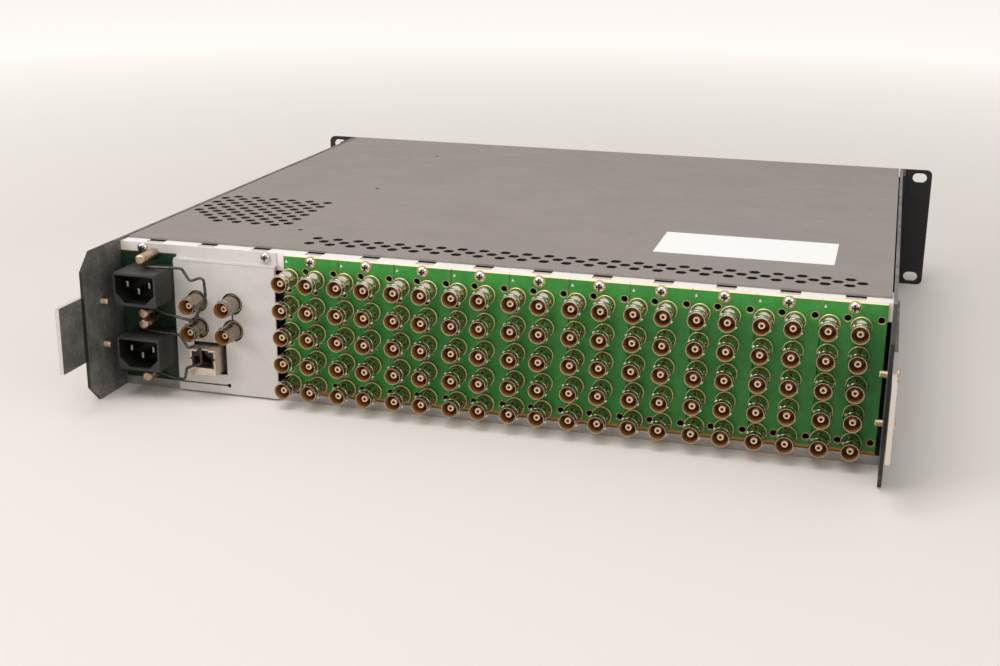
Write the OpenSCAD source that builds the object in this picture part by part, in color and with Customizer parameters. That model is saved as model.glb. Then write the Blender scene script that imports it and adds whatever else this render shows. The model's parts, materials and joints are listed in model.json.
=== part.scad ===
// Modular card frame, two rack units high, seen here with its rear towards +Y.
// Origin: centre of the underside. +Z is up, -Y is the front door, +Y the rear connectors.

/* [Chassis] */
// Width over the side walls
body_w = 440; // [436:1:444]
// Height of the frame
body_h = 88.1; // [87.5:0.1:90]
// Depth from the front flange to the rear lip
body_d = 385; // [380:1:400]
// Thickness of a side wall
wall_t = 2; // [1.6:0.1:2.2]
// Thickness of the pan, cover, rails and plates
sheet_t = 1.2; // [1:0.1:1.4]
// Reach of the side walls past the rear lip
wall_reach = 39.5; // [34:0.5:45]
// Corner cut of a side wall's rear end
wall_corner = 10; // [6:1:14]
// Depth of the pale rail that shows behind the cover
shelf_show = 8.4; // [7:0.1:10]
// Height of the rear lip of the pan
lip_h = 5.2; // [4.5:0.1:6]

/* [Rack mounting] */
// Width of a rack ear beside the frame
ear_w = 21.3; // [21.3]
// Distance from an ear's side edge to the middle of its slots
slot_edge = 8.75; // [8.75]
// Distance from an ear's lower edge to the middle of its lower slot
slot_end = 5.95; // [5.95]
// Length of a slot, along X
slot_l = 10.3; // [9:0.1:11]
// Width of a slot
slot_w = 7; // [6.5:0.1:7.2]
// Thickness of a rack ear
ear_t = 2; // [1.8:0.1:2.5]
// Length of the ear's leg along the side wall
ear_leg = 28; // [24:1:40]
// Length of a rear support bar
bar_l = 160; // [140:1:180]
// Height of a rear support bar
bar_h = 38; // [34:1:42]
// Thickness of a rear support bar
bar_t = 2.5; // [2:0.1:3]
// Reach of a support bar past the rear lip
bar_reach = 62; // [55:1:66]

/* [Rear boards and jacks] */
// Number of rear boards
board_count = 10; // [10]
// Width of the power side, from the frame's side to the first board
power_w = 105.2; // [105:0.1:106]
// Thickness of every circuit board
pcb_t = 1.6; // [1.4:0.1:1.8]
// Number of jacks up one board
jack_rows = 5; // [2:1:5]
// Distance from the frame's top to the top row of jacks
jack_drop = 13.9; // [13.5:0.1:14.3]
// Height of the bottom row of jacks
jack_low = 11.56; // [11.2:0.02:11.9]
// Outer diameter of a jack's barrel
jack_d = 9.6; // [9.4:0.1:9.8]
// Bore of a jack's barrel
jack_bore = 8.2; // [8:0.1:8.3]
// Length of a jack from its board
jack_l = 18; // [17:0.1:19]

/* [Power inlets] */
// Width of a power inlet
inlet_w = 27; // [26.6:0.1:27.4]
// Height of a power inlet
inlet_h = 19.6; // [19.2:0.1:19.8]
// Length of a power inlet from its board
inlet_l = 25; // [23:0.5:27]
// Distance from the frame's side to the inlets
inlet_in = 24.2; // [23.8:0.1:24.4]
// Height of the lower inlet's centre
inlet_low = 27.3; // [27:0.1:27.6]
// Distance between the two inlets
inlet_rise = 38.1; // [38:0.1:38.4]
// Width of the plug cavity
cavity_w = 24.2; // [24:0.1:24.4]
// Height of the plug cavity
cavity_h = 16.2; // [16:0.1:16.4]
// Depth of the plug cavity
cavity_d = 17; // [15:0.5:19]
// Diameter of a bail post
post_d = 6.4; // [6:0.1:6.5]
// Distance from an inlet's centre to each of its posts
post_off = 15.75; // [15.6:0.05:15.9]
// Length of a bail post from its board
post_l = 17.5; // [17:0.1:18.5]
// Distance from the board to the bail's axis
bail_stand = 13.5; // [13.2:0.1:13.8]
// Diameter of the bail wire
wire_d = 1.6; // [1.5:0.1:1.7]
// Reach of a bail from its axis
bail_reach = 40.2; // [39.6:0.1:40.6]

/* [Control plate] */
// Distance from the boards to the plate's outer face
plate_stand = 4; // [3.8:0.1:4.4]
// Width of the plate
plate_w = 62.9; // [62.2:0.1:63.2]
// Distance from the first board to the plate
plate_gap = 4.1; // [3.8:0.1:4.4]
// Distance from the plate's outer edge to the outer reference jacks
ref_in = 14.2; // [13.8:0.1:14.4]
// Distance between the two columns of reference jacks
ref_pair = 21.7; // [21.4:0.1:22]
// Height of the lower reference jacks
ref_low = 40.15; // [40.1:0.05:40.4]
// Distance between the two rows of reference jacks
ref_rise = 15.9; // [15.7:0.1:16]
// Diameter of the plate's holes round the reference jacks
ref_hole = 13; // [12.6:0.1:13.4]
// Width of the network jack
net_w = 15.9; // [15.6:0.1:16.2]
// Height of the network jack
net_h = 15.3; // [15:0.1:15.5]
// Distance from the plate's outer edge to the network jack's centre
net_in = 21.1; // [20.9:0.1:21.3]
// Height of the network jack's centre
net_z = 22.6; // [22.4:0.1:22.8]
// Length of the network jack from its board
net_l = 14.5; // [14:0.1:14.8]

/* [Cover] */
// Width of a vent hole across its flats
vent_af = 5.8; // [5.4:0.1:5.9]
// Distance between vent holes along a row
vent_pitch = 12.7; // [12.6:0.1:13]
// Distance between rows of vent holes
vent_row = 6.3; // [6.2:0.1:6.5]
// Number of rows in the corner patch
patch_rows = 12; // [8:1:12]
// Number of holes along a row of the patch
patch_count = 6; // [4:1:6]
// Width of the label on the cover
label_w = 101.4; // [90:1:110]
// Depth of the label on the cover
label_d = 51.5; // [45:1:56]

/* [Front door] */
// Depth of the door in front of the frame
door_d = 14; // [13:0.5:16]
// Thickness of the door's sheet
door_t = 1.5; // [1.2:0.1:1.8]
// Number of door fans
fan_count = 4; // [4]
// Size of a fan's square frame
fan_size = 60; // [58:1:61]
// Depth of a fan
fan_d = 20; // [15:0.5:21]
// Number of blades on a fan
blade_count = 7; // [5:1:7]
// Diameter of a door knob
knob_d = 16; // [14:1:18]
// Depth of a door knob
knob_l = 9; // [7:0.5:12]

/* [Cards and supplies] */
// Distance from the frame's front to the cards
card_start = 42.5; // [42:0.5:45]
// Distance from the divider and the side wall to the power supplies
supply_side = 4.1; // [3:0.1:5.5]
// Distance from the card sockets' floor to the back of the power supplies
supply_back = 8; // [6:1:18]

/* [Hidden] */
$fn = 48;
fit = 0.3;
pin_fit = 0.08;
over = 1;

// Main planes
x_in = body_w / 2 - wall_t;
y_front = -body_d / 2;
y_rear = body_d / 2;
cover_low = body_h - sheet_t;
board_face = y_rear - sheet_t - fit;
board_back = board_face - pcb_t;
cover_rear = board_back - shelf_show;
door_face = y_front - door_d;
wall_x = body_w / 2;
slot_span = body_w + 2 * (ear_w - slot_edge);
slot_rise = body_h - 2 * slot_end;

// Rear rail and lip
rail_d = 21.4;
rail_drop = 10;
rail_hole_r = 2.6;
slot_mark_w = 10.5;
slot_mark_d = 1.4;
slot_mark_in = 1;
tab_drop = 0.5;
lip_d = 14;
side_gap = 0.8;
skirt_h = 9;
cover_lip = 4;

// Holes of the cover, from its rear edge, and the bay flange under them
bay_hole_in = 7;
bay_hole_d = 3;
bay_hole_shares = [0.12, 0.475, 0.83];
divider_gap = 6;
bay_flange = 15;

// Side wall
front_flange = 12;
flange_low = 12;
wall_screw_y = 21.1;
wall_screw_rise = 25.7;
m3_r = 1.5;
m3_head_r = 2.85;
m3_head_h = 2;
m4_r = 2;
m4_head_r = 3.6;
m4_head_h = 2.2;
m4_tip = 4;
ear_corner = 4;
ear_screw_y = 18;
ear_screw_shares = [0.24, 0.76];

// Boards
board_gap = 0.5;
board_low = 3;
board_top_gap = 2.1;
board_end = 2;
board_screw_drop = 3.4;
jack_edge_share = 0.1406;
jack_pair_share = 0.4764;
plated_r = 1.85;
plated_shares = [0.403, 0.909];
plated_drop = 9.2;
plated_low = 11.2;
pilot_r = 1.65;
pilot_shift = 1.6;
ring_r = 5.5;
ring_l = 2.5;
lug_r = 1;
lug_reach = 5.55;
lug_back = 5.5;
jack_floor = 6;
contact_r = 2.1;
contact_bore = 0.75;
contact_back = 2.2;
contact_depth = 4;
connector_l = 15.8;
connector_w = 8;
connector_z = 14;
connector_drop = 16.9;
socket_d = 9;
socket_w = 6;
socket_floor = 4;
socket_z = 18;
socket_drop = 18.9;

// Plate
plate_drop = 7.9;
strip_drop = 6.5;
ledge_in = 1.2;
bay_strip_drop = 4.9;
strip_side = 13.3;
strip_shift = 0.5;
strip_corner = 2.2;
strip_screw_drop = 2.9;
strip_screw_in = 6.4;
strip_screw_out = 3.6;
plate_low = 1.2;
ref_slot_w = 1.2;
net_hole_w = 20.6;
net_hole_h = 19.2;
net_hole_shift = 0.2;
net_hole_z = 22.2;
relief_z = 6.2;
relief_w = 0.9;
relief_l = 32;
relief_r = 1.3;
control_side = 2.1;
net_cavity_w = 12;
net_cavity_h = 7.2;
net_cavity_d = 12.4;
net_cavity_up = 1.2;
net_share = 0.6;
latch_w = 6;
latch_h = 1.6;
latch_tip_w = 3.4;
latch_tip_h = 1.5;

// Inlets and bails
inlet_corner = 1.6;
cavity_cut = 5.6;
blade_w = 2;
blade_h = 4;
blade_gap = 14;
blade_top = 2.1;
earth_drop = 4;
blade_back = 4.8;
bail_rise = 12.6;
bail_upper_angle = 4;
bail_lower_angle = 14;
bail_tip = 1.2;
wire_sides = 12;
post_bore_tip = 1.5;
bail_hold = 5;
bail_upper_run_shares = [0.634, 0.759, 0.978, 1, 0.896, 0.784, 0.323];
bail_upper_rise_shares = [1, 0.444, 0.73, -0.143, -0.825, -1.413, -1.206];
bail_lower_run_shares = [0.634, 0.759, 0.978, 1, 0.719, 0.672, 0.478];
bail_lower_rise_shares = [1, 0.444, 0.73, -0.143, -0.532, -1.103, -1.127];

// Supplies
supply_gap = 0.3;
supply_case_t = 1;
supply_slot_w = 3;
supply_slot_pitch = 7;
supply_slot_count = 11;
supply_slot_share = 0.62;
supply_socket_w = 24;
supply_socket_h = 20;
handle_w = 50;
handle_d = 9;
handle_h = 3;
handle_z = 4;

// Guides and cards
guide_w = 4;
guide_h = 3.5;
guide_floor = 1;
guide_slot = 2.2;
control_card_gap = 1.2;
grip_w = 5;
grip_d = 8;
grip_h = 16;
grip_drop = 25.6;
card_part_h = 14;
control_part_h = 5;

// Door and fans
door_low = 3;
door_top_gap = 2.6;
door_side_gap = 6.6;
hinge_back = 3.2;
hinge_z = 6.5;
hinge_pin_r = 1.5;
lug_t = 3;
lug_ring_r = 3.6;
grille_w = 52;
grille_slot_h = 3;
grille_pitch = 5.6;
grille_rows = 10;
fan_end = 4;
fan_bore_r = 28.5;
fan_hole_r = 2.2;
fan_hole_off = 25;
fan_mount_r = 12;
fan_mount_t = 2;
strut_w = 3;
rotor_r = 27.3;
hub_r = 12;
hub_front_gap = 1.5;
hub_rear_gap = 0.5;
shaft_r = 1.5;
blade_t = 1;
blade_chord = 13;
blade_angle = 38;
knob_in = 24;
knob_shaft_r = 3;
knob_gap = 0.3;
knob_grooves = 12;
knob_groove_r = 1.1;
tongue_w = 5;
tongue_l = 16;
tongue_t = 3;

// Places across, worked out from the sizes above
board_start = wall_x - power_w;
board_pitch = (board_start + x_in - board_end) / board_count;
jack_edge = jack_edge_share * board_pitch;
jack_pair = jack_pair_share * board_pitch;
card_off = board_pitch / 4;
divider_x = board_start + divider_gap;
bay_hole_x = divider_x + bay_hole_in;
inlet_x = wall_x - inlet_in;
plate_in = board_start + plate_gap;
plate_out = plate_in + plate_w;
ref_x = plate_out - ref_in;
net_x = plate_out - net_in;
net_hole_x = net_x + net_hole_shift;
strip_in = plate_in + strip_shift;
strip_out = wall_x - strip_side;
control_in = plate_in + control_side;
control_card_x = board_start + control_card_gap;
supply_x = (divider_x + x_in) / 2;
supply_w = x_in - divider_x - 2 * supply_side;
knob_x = wall_x - knob_in;
fan_pitch = 2 * (knob_x - fan_end) / fan_count;

// Heights, worked out from the sizes above
mid_z = body_h / 2;
bar_z = mid_z - bar_h / 2;
bay_shelf_z = (cover_low + sheet_t) / 2;
board_screw_z = cover_low - board_screw_drop;
plated_top = cover_low - plated_drop;
jack_top = body_h - jack_drop;
jack_rise = (jack_top - jack_low) / (jack_rows - 1);
plate_top = cover_low - plate_drop;
strip_low = cover_low - strip_drop;
bay_strip_low = cover_low - bay_strip_drop;
strip_screw_z = cover_low - strip_screw_drop;
connector_h = cover_low - connector_z - connector_drop;
socket_h = cover_low - socket_z - socket_drop;

// Depths and the rest, worked out from the sizes above
mid_back = board_back - connector_l;
mid_front = mid_back - pcb_t;
card_rear = mid_front - socket_floor;
card_low = sheet_t + guide_floor + fit;
card_high = cover_low - guide_floor - fit;
guide_front = y_front + card_start;
card_l = card_rear - guide_front;
supply_l = card_l - supply_back;
grip_z = card_high - grip_drop;
guide_rear = mid_front - socket_d - fit;
hinge_y = door_face + hinge_back;
fan_rear = door_face + door_t + fan_d;
door_w = body_w - 2 * (door_side_gap + fit);
door_top = body_h - door_top_gap;
inlet_high = inlet_low + inlet_rise;
bail_y = board_face + bail_stand;
bail_meet = post_off - post_d / 2 - wire_d / 2 - fit / 2;
supply_h = (cover_low - 3 * sheet_t) / 2 - 4 * supply_gap;
supply_low = sheet_t + supply_gap;
supply_high = bay_shelf_z + supply_gap;

function board_x(i) = board_start - (i + 0.5) * board_pitch;
function row_z(j) = jack_top - j * jack_rise;
function column_x(i, k) = board_start - i * board_pitch - jack_edge - k * jack_pair;

// A box between two corners
module slab(low, high) {
    translate(low) cube(high - low);
}

// A flat shape drawn in X and Z, with its rear face at y and its body towards the front
module upright(y, t) {
    translate([0, y, 0]) rotate([90, 0, 0]) linear_extrude(t) children();
}

// A rectangle with rounded corners, centred
module rounded(w, h, r) {
    square([w, h - 2 * r], center = true);
    square([w - 2 * r, h], center = true);
    for (sx = [-1, 1], sy = [-1, 1])
        translate([sx * (w / 2 - r), sy * (h / 2 - r)]) circle(r);
}

// Round bars along Y and along X
module bar_y(x, z, y0, y1, r) {
    translate([x, y1, z]) rotate([90, 0, 0]) cylinder(h = y1 - y0, r = r);
}
module bar_x(y, z, x0, x1, r) {
    translate([x0, y, z]) rotate([0, 90, 0]) cylinder(h = x1 - x0, r = r);
}

// A round bar from one point to another
module link(p, q, r) {
    d = q - p;
    l = norm(d);
    translate(p) rotate([0, acos(d[2] / l), atan2(d[1], d[0])]) cylinder(h = l, r = r);
}

// A screw with a pan head, its head towards +Y
module screw_y(x, z, y, shank, r, head_r, head_h) {
    bar_y(x, z, y - shank, y, r - pin_fit);
    bar_y(x, z, y, y + head_h, head_r);
}

// Bottom pan with its rear lip and the door's hinge lugs
module base_pan() {
    color("gainsboro") {
        slab([-x_in, y_front, 0], [x_in, y_rear, sheet_t]);
        slab([-x_in, y_rear - sheet_t, 0], [x_in, y_rear, lip_h]);
        for (s = [-1, 1]) hinge_lug(s);
    }
}
module hinge_lug(s) {
    out = body_w / 2 - door_side_gap + lug_t / 2;
    difference() {
        union() {
            slab([s * out - lug_t / 2, hinge_y, 0], [s * out + lug_t / 2, y_front + lip_d, hinge_z]);
            bar_x(hinge_y, hinge_z, s * out - lug_t / 2, s * out + lug_t / 2, lug_ring_r);
        }
        bar_x(hinge_y, hinge_z, s * out - lug_t, s * out + lug_t, hinge_pin_r + pin_fit);
        slab([s * out - lug_t, hinge_y - lug_ring_r - over, -over],
             [s * out + lug_t, y_front - over, hinge_z - lug_ring_r]);
    }
}

// Side wall with its front flange and its reach at the rear
module side_wall(s) {
    color("dimgray") mirror([s < 0 ? 1 : 0, 0, 0]) {
        difference() {
            translate([x_in, 0, 0]) rotate([90, 0, 90]) linear_extrude(wall_t) wall_outline();
            for (k = [-1, 1])
                bar_x(y_rear + wall_screw_y, mid_z + k * wall_screw_rise / 2,
                      x_in - over, body_w / 2 + over, m4_r);
            for (share = ear_screw_shares)
                bar_x(y_front + ear_screw_y, share * body_h, x_in - over, body_w / 2 + over, m4_r);
        }
        slab([x_in - front_flange, y_front, flange_low],
             [x_in, y_front + wall_t, cover_low - cover_lip - over]);
    }
}
module wall_outline() {
    end = y_rear + wall_reach;
    polygon([[y_front, 0], [end - wall_corner, 0], [end, wall_corner],
             [end, body_h - wall_corner], [end - wall_corner, body_h], [y_front, body_h]]);
}

// Top cover with its folded skirts and front lip, vent holes and screw holes
module top_cover() {
    half = x_in - side_gap;
    color([0.62, 0.59, 0.57]) {
        translate([0, 0, cover_low]) linear_extrude(sheet_t) difference() {
            translate([-half, y_front]) square([2 * half, cover_rear - y_front]);
            rear_vents();
            patch_vents();
            for (share = bay_hole_shares)
                translate([bay_hole_x, cover_rear - share * (cover_rear - y_front)])
                    circle(bay_hole_d / 2);
        }
        for (s = [-1, 1])
            slab([s * half - (s > 0 ? sheet_t : 0), y_front + wall_t + fit, cover_low - skirt_h],
                 [s * half + (s > 0 ? 0 : sheet_t), cover_rear - rail_d, cover_low]);
        slab([-half, y_front, cover_low - cover_lip], [half, y_front + sheet_t, cover_low]);
    }
}
module vent_hole(x, y) {
    translate([x, y]) circle(vent_af / 2 / cos(180 / vent_sides), $fn = vent_sides);
}
vent_sides = 6;
strip_start = 5.4;
strip_end = 9;
strip_back = 15.2;
strip_x = board_start - strip_start;
strip_count = floor((strip_x + x_in - strip_end) / vent_pitch);
module rear_vents() {
    for (row = [0:2], i = [0:strip_count - 1])
        vent_hole(strip_x - (i + (row == 1 ? 0.5 : 0)) * vent_pitch,
                  cover_rear - strip_back - row * vent_row);
}
patch_in = 6.6;
patch_x = x_in - patch_in;
patch_back = 52.4;
patch_cut_rows = 3;
module patch_vents() {
    for (row = [0:patch_rows - 1], i = [0:patch_count - 1])
        if (i * 2 + row % 2 >= patch_cut_rows - row)
            vent_hole(patch_x - (i + (row % 2) / 2) * vent_pitch,
                      cover_rear - patch_back - row * vent_row);
}

// Blank label on the cover
label_in = 83.3;
label_x = x_in - label_in;
label_back = 82.75;
label_t = 0.2;
module cover_label() {
    color("white")
        slab([-label_x - label_w / 2, cover_rear - label_back - label_d / 2, body_h],
             [-label_x + label_w / 2, cover_rear - label_back + label_d / 2, body_h + label_t]);
}

// Rear top rail, with a slot and a lowered tab over each fixing place
function mark_x(i) = board_x(i);
bay_mark_count = 3;
module rear_rail() {
    color("whitesmoke") difference() {
        union() {
            slab([-x_in, board_back - rail_d, cover_low - sheet_t], [x_in, board_back, cover_low]);
            slab([-x_in, board_back - sheet_t, cover_low - rail_drop], [x_in, board_back, cover_low]);
        }
        for (i = [-bay_mark_count:board_count - 1]) {
            slab([mark_x(i) - slot_mark_w / 2, cover_rear - slot_mark_in, cover_low - sheet_t - over],
                 [mark_x(i) + slot_mark_w / 2, cover_rear + slot_mark_d, cover_low + over]);
            slab([mark_x(i) - slot_mark_w / 2, cover_rear + slot_mark_d, cover_low - tab_drop],
                 [mark_x(i) + slot_mark_w / 2, board_back - sheet_t, cover_low + over]);
        }
        for (i = [0:board_count - 1])
            bar_y(board_x(i), board_screw_z, board_back - 2 * sheet_t, board_back + over, m3_r);
        for (i = [0:board_count - 1], share = plated_shares)
            bar_y(board_start - (i + share) * board_pitch, plated_top, board_back - 2 * sheet_t,
                  board_back + over, rail_hole_r);
        for (x = [strip_in + strip_screw_in, strip_out - strip_screw_out])
            bar_y(x, strip_screw_z, board_back - 2 * sheet_t, board_back + over, m3_r);
    }
}

// Upright divider and shelf that hold the two power supplies
module supply_bay() {
    color("silver") difference() {
        union() {
            slab([divider_x - sheet_t, guide_front, sheet_t],
                 [divider_x, mid_front - fit, cover_low - sheet_t]);
            slab([divider_x, guide_front, bay_shelf_z - sheet_t], [x_in, mid_front - fit, bay_shelf_z]);
            slab([divider_x - sheet_t, guide_front, cover_low - sheet_t],
                 [divider_x + bay_flange, cover_rear - rail_d - fit, cover_low]);
        }
        for (share = bay_hole_shares)
            translate([bay_hole_x, cover_rear - share * (cover_rear - y_front), cover_low - 2 * sheet_t])
                cylinder(h = 3 * sheet_t, d = bay_hole_d - fit);
    }
}

// Rack ear with two slots and a leg along the wall
module rack_ear(s) {
    color("black") mirror([s < 0 ? 1 : 0, 0, 0]) {
        upright(y_front + ear_t, ear_t) difference() {
            translate([body_w / 2, 0]) ear_outline(ear_w);
            for (k = [-1, 1])
                translate([slot_span / 2, body_h / 2 + k * slot_rise / 2]) ear_slot();
        }
        difference() {
            slab([body_w / 2, y_front, 0], [body_w / 2 + ear_t, y_front + ear_leg, body_h]);
            for (share = ear_screw_shares)
                bar_x(y_front + ear_screw_y, share * body_h, body_w / 2 - over,
                      body_w / 2 + ear_t + over, m4_r);
        }
    }
}
module ear_slot() {
    square([slot_l - slot_w, slot_w], center = true);
    for (s = [-1, 1]) translate([s * (slot_l - slot_w) / 2, 0]) circle(slot_w / 2);
}
module ear_outline(w) {
    square([w - ear_corner, body_h]);
    translate([0, ear_corner]) square([w, body_h - 2 * ear_corner]);
    for (z = [ear_corner, body_h - ear_corner]) translate([w - ear_corner, z]) circle(ear_corner);
}

// Flat bar on the outside of a wall that carries the frame's rear in a rack
module support_bar(s) {
    bar_end = y_rear + bar_reach;
    color("slategray") mirror([s < 0 ? 1 : 0, 0, 0]) difference() {
        slab([body_w / 2, bar_end - bar_l, bar_z], [body_w / 2 + bar_t, bar_end, bar_z + bar_h]);
        for (k = [-1, 1])
            bar_x(y_rear + wall_screw_y, mid_z + k * wall_screw_rise / 2,
                  body_w / 2 - over, body_w / 2 + bar_t + over, m4_r);
    }
}

// Screws through the ears' legs into the walls
module ear_screws() {
    color("black") for (s = [0, 1], share = ear_screw_shares)
        mirror([s, 0, 0]) side_screw(y_front + ear_screw_y, share * body_h, ear_t, over);
}
// Screws through the walls into the support bars
module bar_screws() {
    color("goldenrod") for (s = [0, 1], k = [-1, 1])
        mirror([s, 0, 0])
            side_screw(y_rear + wall_screw_y, mid_z + k * wall_screw_rise / 2, bar_t, m4_tip);
}
module side_screw(y, z, t, tip) {
    bar_x(y, z, x_in - tip, body_w / 2 + t, m4_r - pin_fit);
    bar_x(y, z, body_w / 2 + t, body_w / 2 + t + m4_head_h, m4_head_r);
}

// Rear boards, one for each pair of jack columns
module rear_boards() {
    color("seagreen") for (i = [0:board_count - 1]) upright(board_face, pcb_t) board_shape(i);
}
module board_shape(i) {
    half = (board_pitch - board_gap) / 2;
    edge = board_start - i * board_pitch;
    difference() {
        translate([board_x(i) - half, board_low])
            square([2 * half, body_h - board_top_gap - board_low]);
        for (share = plated_shares, z = [plated_top, plated_low])
            translate([edge - share * board_pitch, z]) circle(plated_r);
        for (k = [0, 1], j = [0:jack_rows - 2])
            translate([column_x(i, k) + pilot_shift, (row_z(j) + row_z(j + 1)) / 2])
                circle(pilot_r);
        translate([board_x(i), board_screw_z]) circle(m3_r);
    }
}

// Screws that hold the rear boards to the rail
module board_screws() {
    color("silver") for (i = [0:board_count - 1])
        screw_y(board_x(i), board_screw_z, board_face, pcb_t + sheet_t + over,
                m3_r, m3_head_r, m3_head_h);
}

// A coaxial jack: ring, barrel with its bore, and two bayonet lugs
module jack(x, z) {
    difference() {
        union() {
            bar_y(x, z, board_face, board_face + jack_l, jack_d / 2);
            bar_y(x, z, board_face, board_face + ring_l, ring_r);
            bar_x(board_face + jack_l - lug_back, z, x - lug_reach, x + lug_reach, lug_r);
        }
        bar_y(x, z, board_face + jack_floor, board_face + jack_l + over, jack_bore / 2);
    }
}
module contact(x, z) {
    difference() {
        bar_y(x, z, board_face + jack_floor, board_face + jack_l - contact_back, contact_r);
        bar_y(x, z, board_face + jack_l - contact_back - contact_depth,
              board_face + jack_l, contact_bore);
    }
}
module jack_barrels() {
    color("lightgray") for (i = [0:board_count - 1], k = [0, 1], j = [0:jack_rows - 1])
        jack(column_x(i, k), row_z(j));
}
module jack_contacts() {
    color("gold") for (i = [0:board_count - 1], k = [0, 1], j = [0:jack_rows - 1])
        contact(column_x(i, k), row_z(j));
}

// Board-to-board connectors between the rear boards and the midplane
module rear_connectors() {
    color("ivory") for (i = [0:board_count - 1])
        slab([board_x(i) + card_off - connector_w / 2, mid_back, connector_z],
             [board_x(i) + card_off + connector_w / 2, board_back, connector_z + connector_h]);
}

// Control plate: screwed strip, ledge, and the plate that stands off the boards
module control_plate() {
    plate_face = board_face + plate_stand;
    color("lightgray") {
        upright(board_back + sheet_t, sheet_t) strip_shape();
        slab([plate_in, board_back, strip_low - sheet_t],
             [plate_out, plate_face - ledge_in / 2, strip_low]);
        slab([plate_in, plate_face - 2 * sheet_t, plate_top - 2 * lip_h],
             [plate_out, plate_face - sheet_t, strip_low]);
        upright(plate_face, sheet_t) plate_shape();
    }
}
module strip_shape() {
    difference() {
        union() {
            translate([strip_in, strip_low - sheet_t])
                square([plate_out - strip_in, cover_low - strip_low + sheet_t]);
            translate([strip_in, bay_strip_low])
                square([strip_out - strip_corner - strip_in, cover_low - bay_strip_low]);
            translate([strip_in, bay_strip_low])
                square([strip_out - strip_in, cover_low - bay_strip_low - strip_corner]);
            translate([strip_out - strip_corner, cover_low - strip_corner]) circle(strip_corner);
        }
        for (x = [strip_in + strip_screw_in, strip_out - strip_screw_out])
            translate([x, strip_screw_z]) circle(m3_r);
    }
}
module plate_shape() {
    difference() {
        translate([plate_in, plate_low]) square([plate_out - plate_in, plate_top - plate_low]);
        for (k = [0, 1]) {
            for (j = [0, 1]) translate([ref_x - k * ref_pair, ref_low + j * ref_rise])
                circle(ref_hole / 2);
            translate([ref_x - k * ref_pair - ref_slot_w / 2, ref_low])
                square([ref_slot_w, ref_rise]);
        }
        translate([net_hole_x - net_hole_w / 2, net_hole_z - net_hole_h / 2])
            square([net_hole_w, net_hole_h]);
        translate([plate_out - relief_l, relief_z - relief_w / 2])
            square([relief_l + over, relief_w]);
        translate([plate_out - relief_l, relief_z]) circle(relief_r);
    }
}
module plate_screws() {
    color("silver") for (x = [strip_in + strip_screw_in, strip_out - strip_screw_out])
        screw_y(x, strip_screw_z, board_back + sheet_t, 2 * sheet_t + over,
                m3_r, m3_head_r, m3_head_h);
}

// Board behind the control plate, with its jacks
module control_board() {
    color("darkgreen") slab([control_in, board_back, board_low],
                            [plate_out - over, board_face, strip_low - sheet_t - fit]);
}
module reference_jacks() {
    color("lightgray") for (k = [0, 1], j = [0, 1])
        jack(ref_x - k * ref_pair, ref_low + j * ref_rise);
}
module reference_contacts() {
    color("gold") for (k = [0, 1], j = [0, 1])
        contact(ref_x - k * ref_pair, ref_low + j * ref_rise);
}

// Network jack: metal shell with the stepped opening of an eight-way plug
module network_jack() {
    face = board_face + net_l;
    color("silver") difference() {
        slab([net_x - net_w / 2, board_face, net_z - net_h / 2],
             [net_x + net_w / 2, face, net_z + net_h / 2]);
        translate([net_x, 0, net_z + net_cavity_up]) {
            net_cut(net_cavity_w, 0, net_cavity_h, face);
            net_cut(latch_w, net_cavity_h, latch_h, face);
            net_cut(latch_tip_w, net_cavity_h + latch_h, latch_tip_h, face);
        }
    }
}
module net_cut(w, up, h, face) {
    slab([-w / 2, face - net_cavity_d, up - net_cavity_h * net_share],
         [w / 2, face + over, up + h - net_cavity_h * net_share]);
}

// Board that carries the power inlets
module inlet_board() {
    low_x = plate_out + fit;
    color("darkgreen") upright(board_face, pcb_t) difference() {
        translate([low_x, board_low])
            square([x_in - side_gap - low_x, bay_strip_low - fit - board_low]);
        translate([strip_out - strip_screw_out, strip_screw_z]) circle(m3_head_r + fit);
    }
}
module power_inlet(z) {
    face = board_face + inlet_l;
    color("black") difference() {
        translate([inlet_x, 0, z]) upright(face, inlet_l) rounded(inlet_w, inlet_h, inlet_corner);
        translate([inlet_x, 0, z]) upright(face + over, cavity_d + over) cavity_shape();
    }
}
module cavity_shape() {
    w = cavity_w / 2;
    h = cavity_h / 2;
    polygon([[-w, h], [w, h], [w, cavity_cut - h], [w - cavity_cut, -h],
             [cavity_cut - w, -h], [-w, cavity_cut - h]]);
}
module inlet_pins() {
    color("silver") for (z = [inlet_low, inlet_high]) {
        for (k = [-1, 1]) pin_blade(inlet_x + k * blade_gap / 2, z + blade_top);
        pin_blade(inlet_x, z + blade_top - earth_drop);
    }
}
module pin_blade(x, z) {
    face = board_face + inlet_l;
    slab([x - blade_w / 2, face - cavity_d, z - blade_h / 2],
         [x + blade_w / 2, face - blade_back, z + blade_h / 2]);
}

// Posts beside each inlet, with the cross bores that hold the wire bails
module bail_posts() {
    color("silver") for (z = [inlet_low, inlet_high], k = [-1, 1])
        difference() {
            bar_y(inlet_x, z + k * post_off, board_face, board_face + post_l, post_d / 2);
            link([inlet_x, bail_y, z + k * (post_off - post_d)],
                 [inlet_x, bail_y, z + k * (post_off + post_bore_tip)], wire_d / 2 + pin_fit);
        }
}

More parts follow.
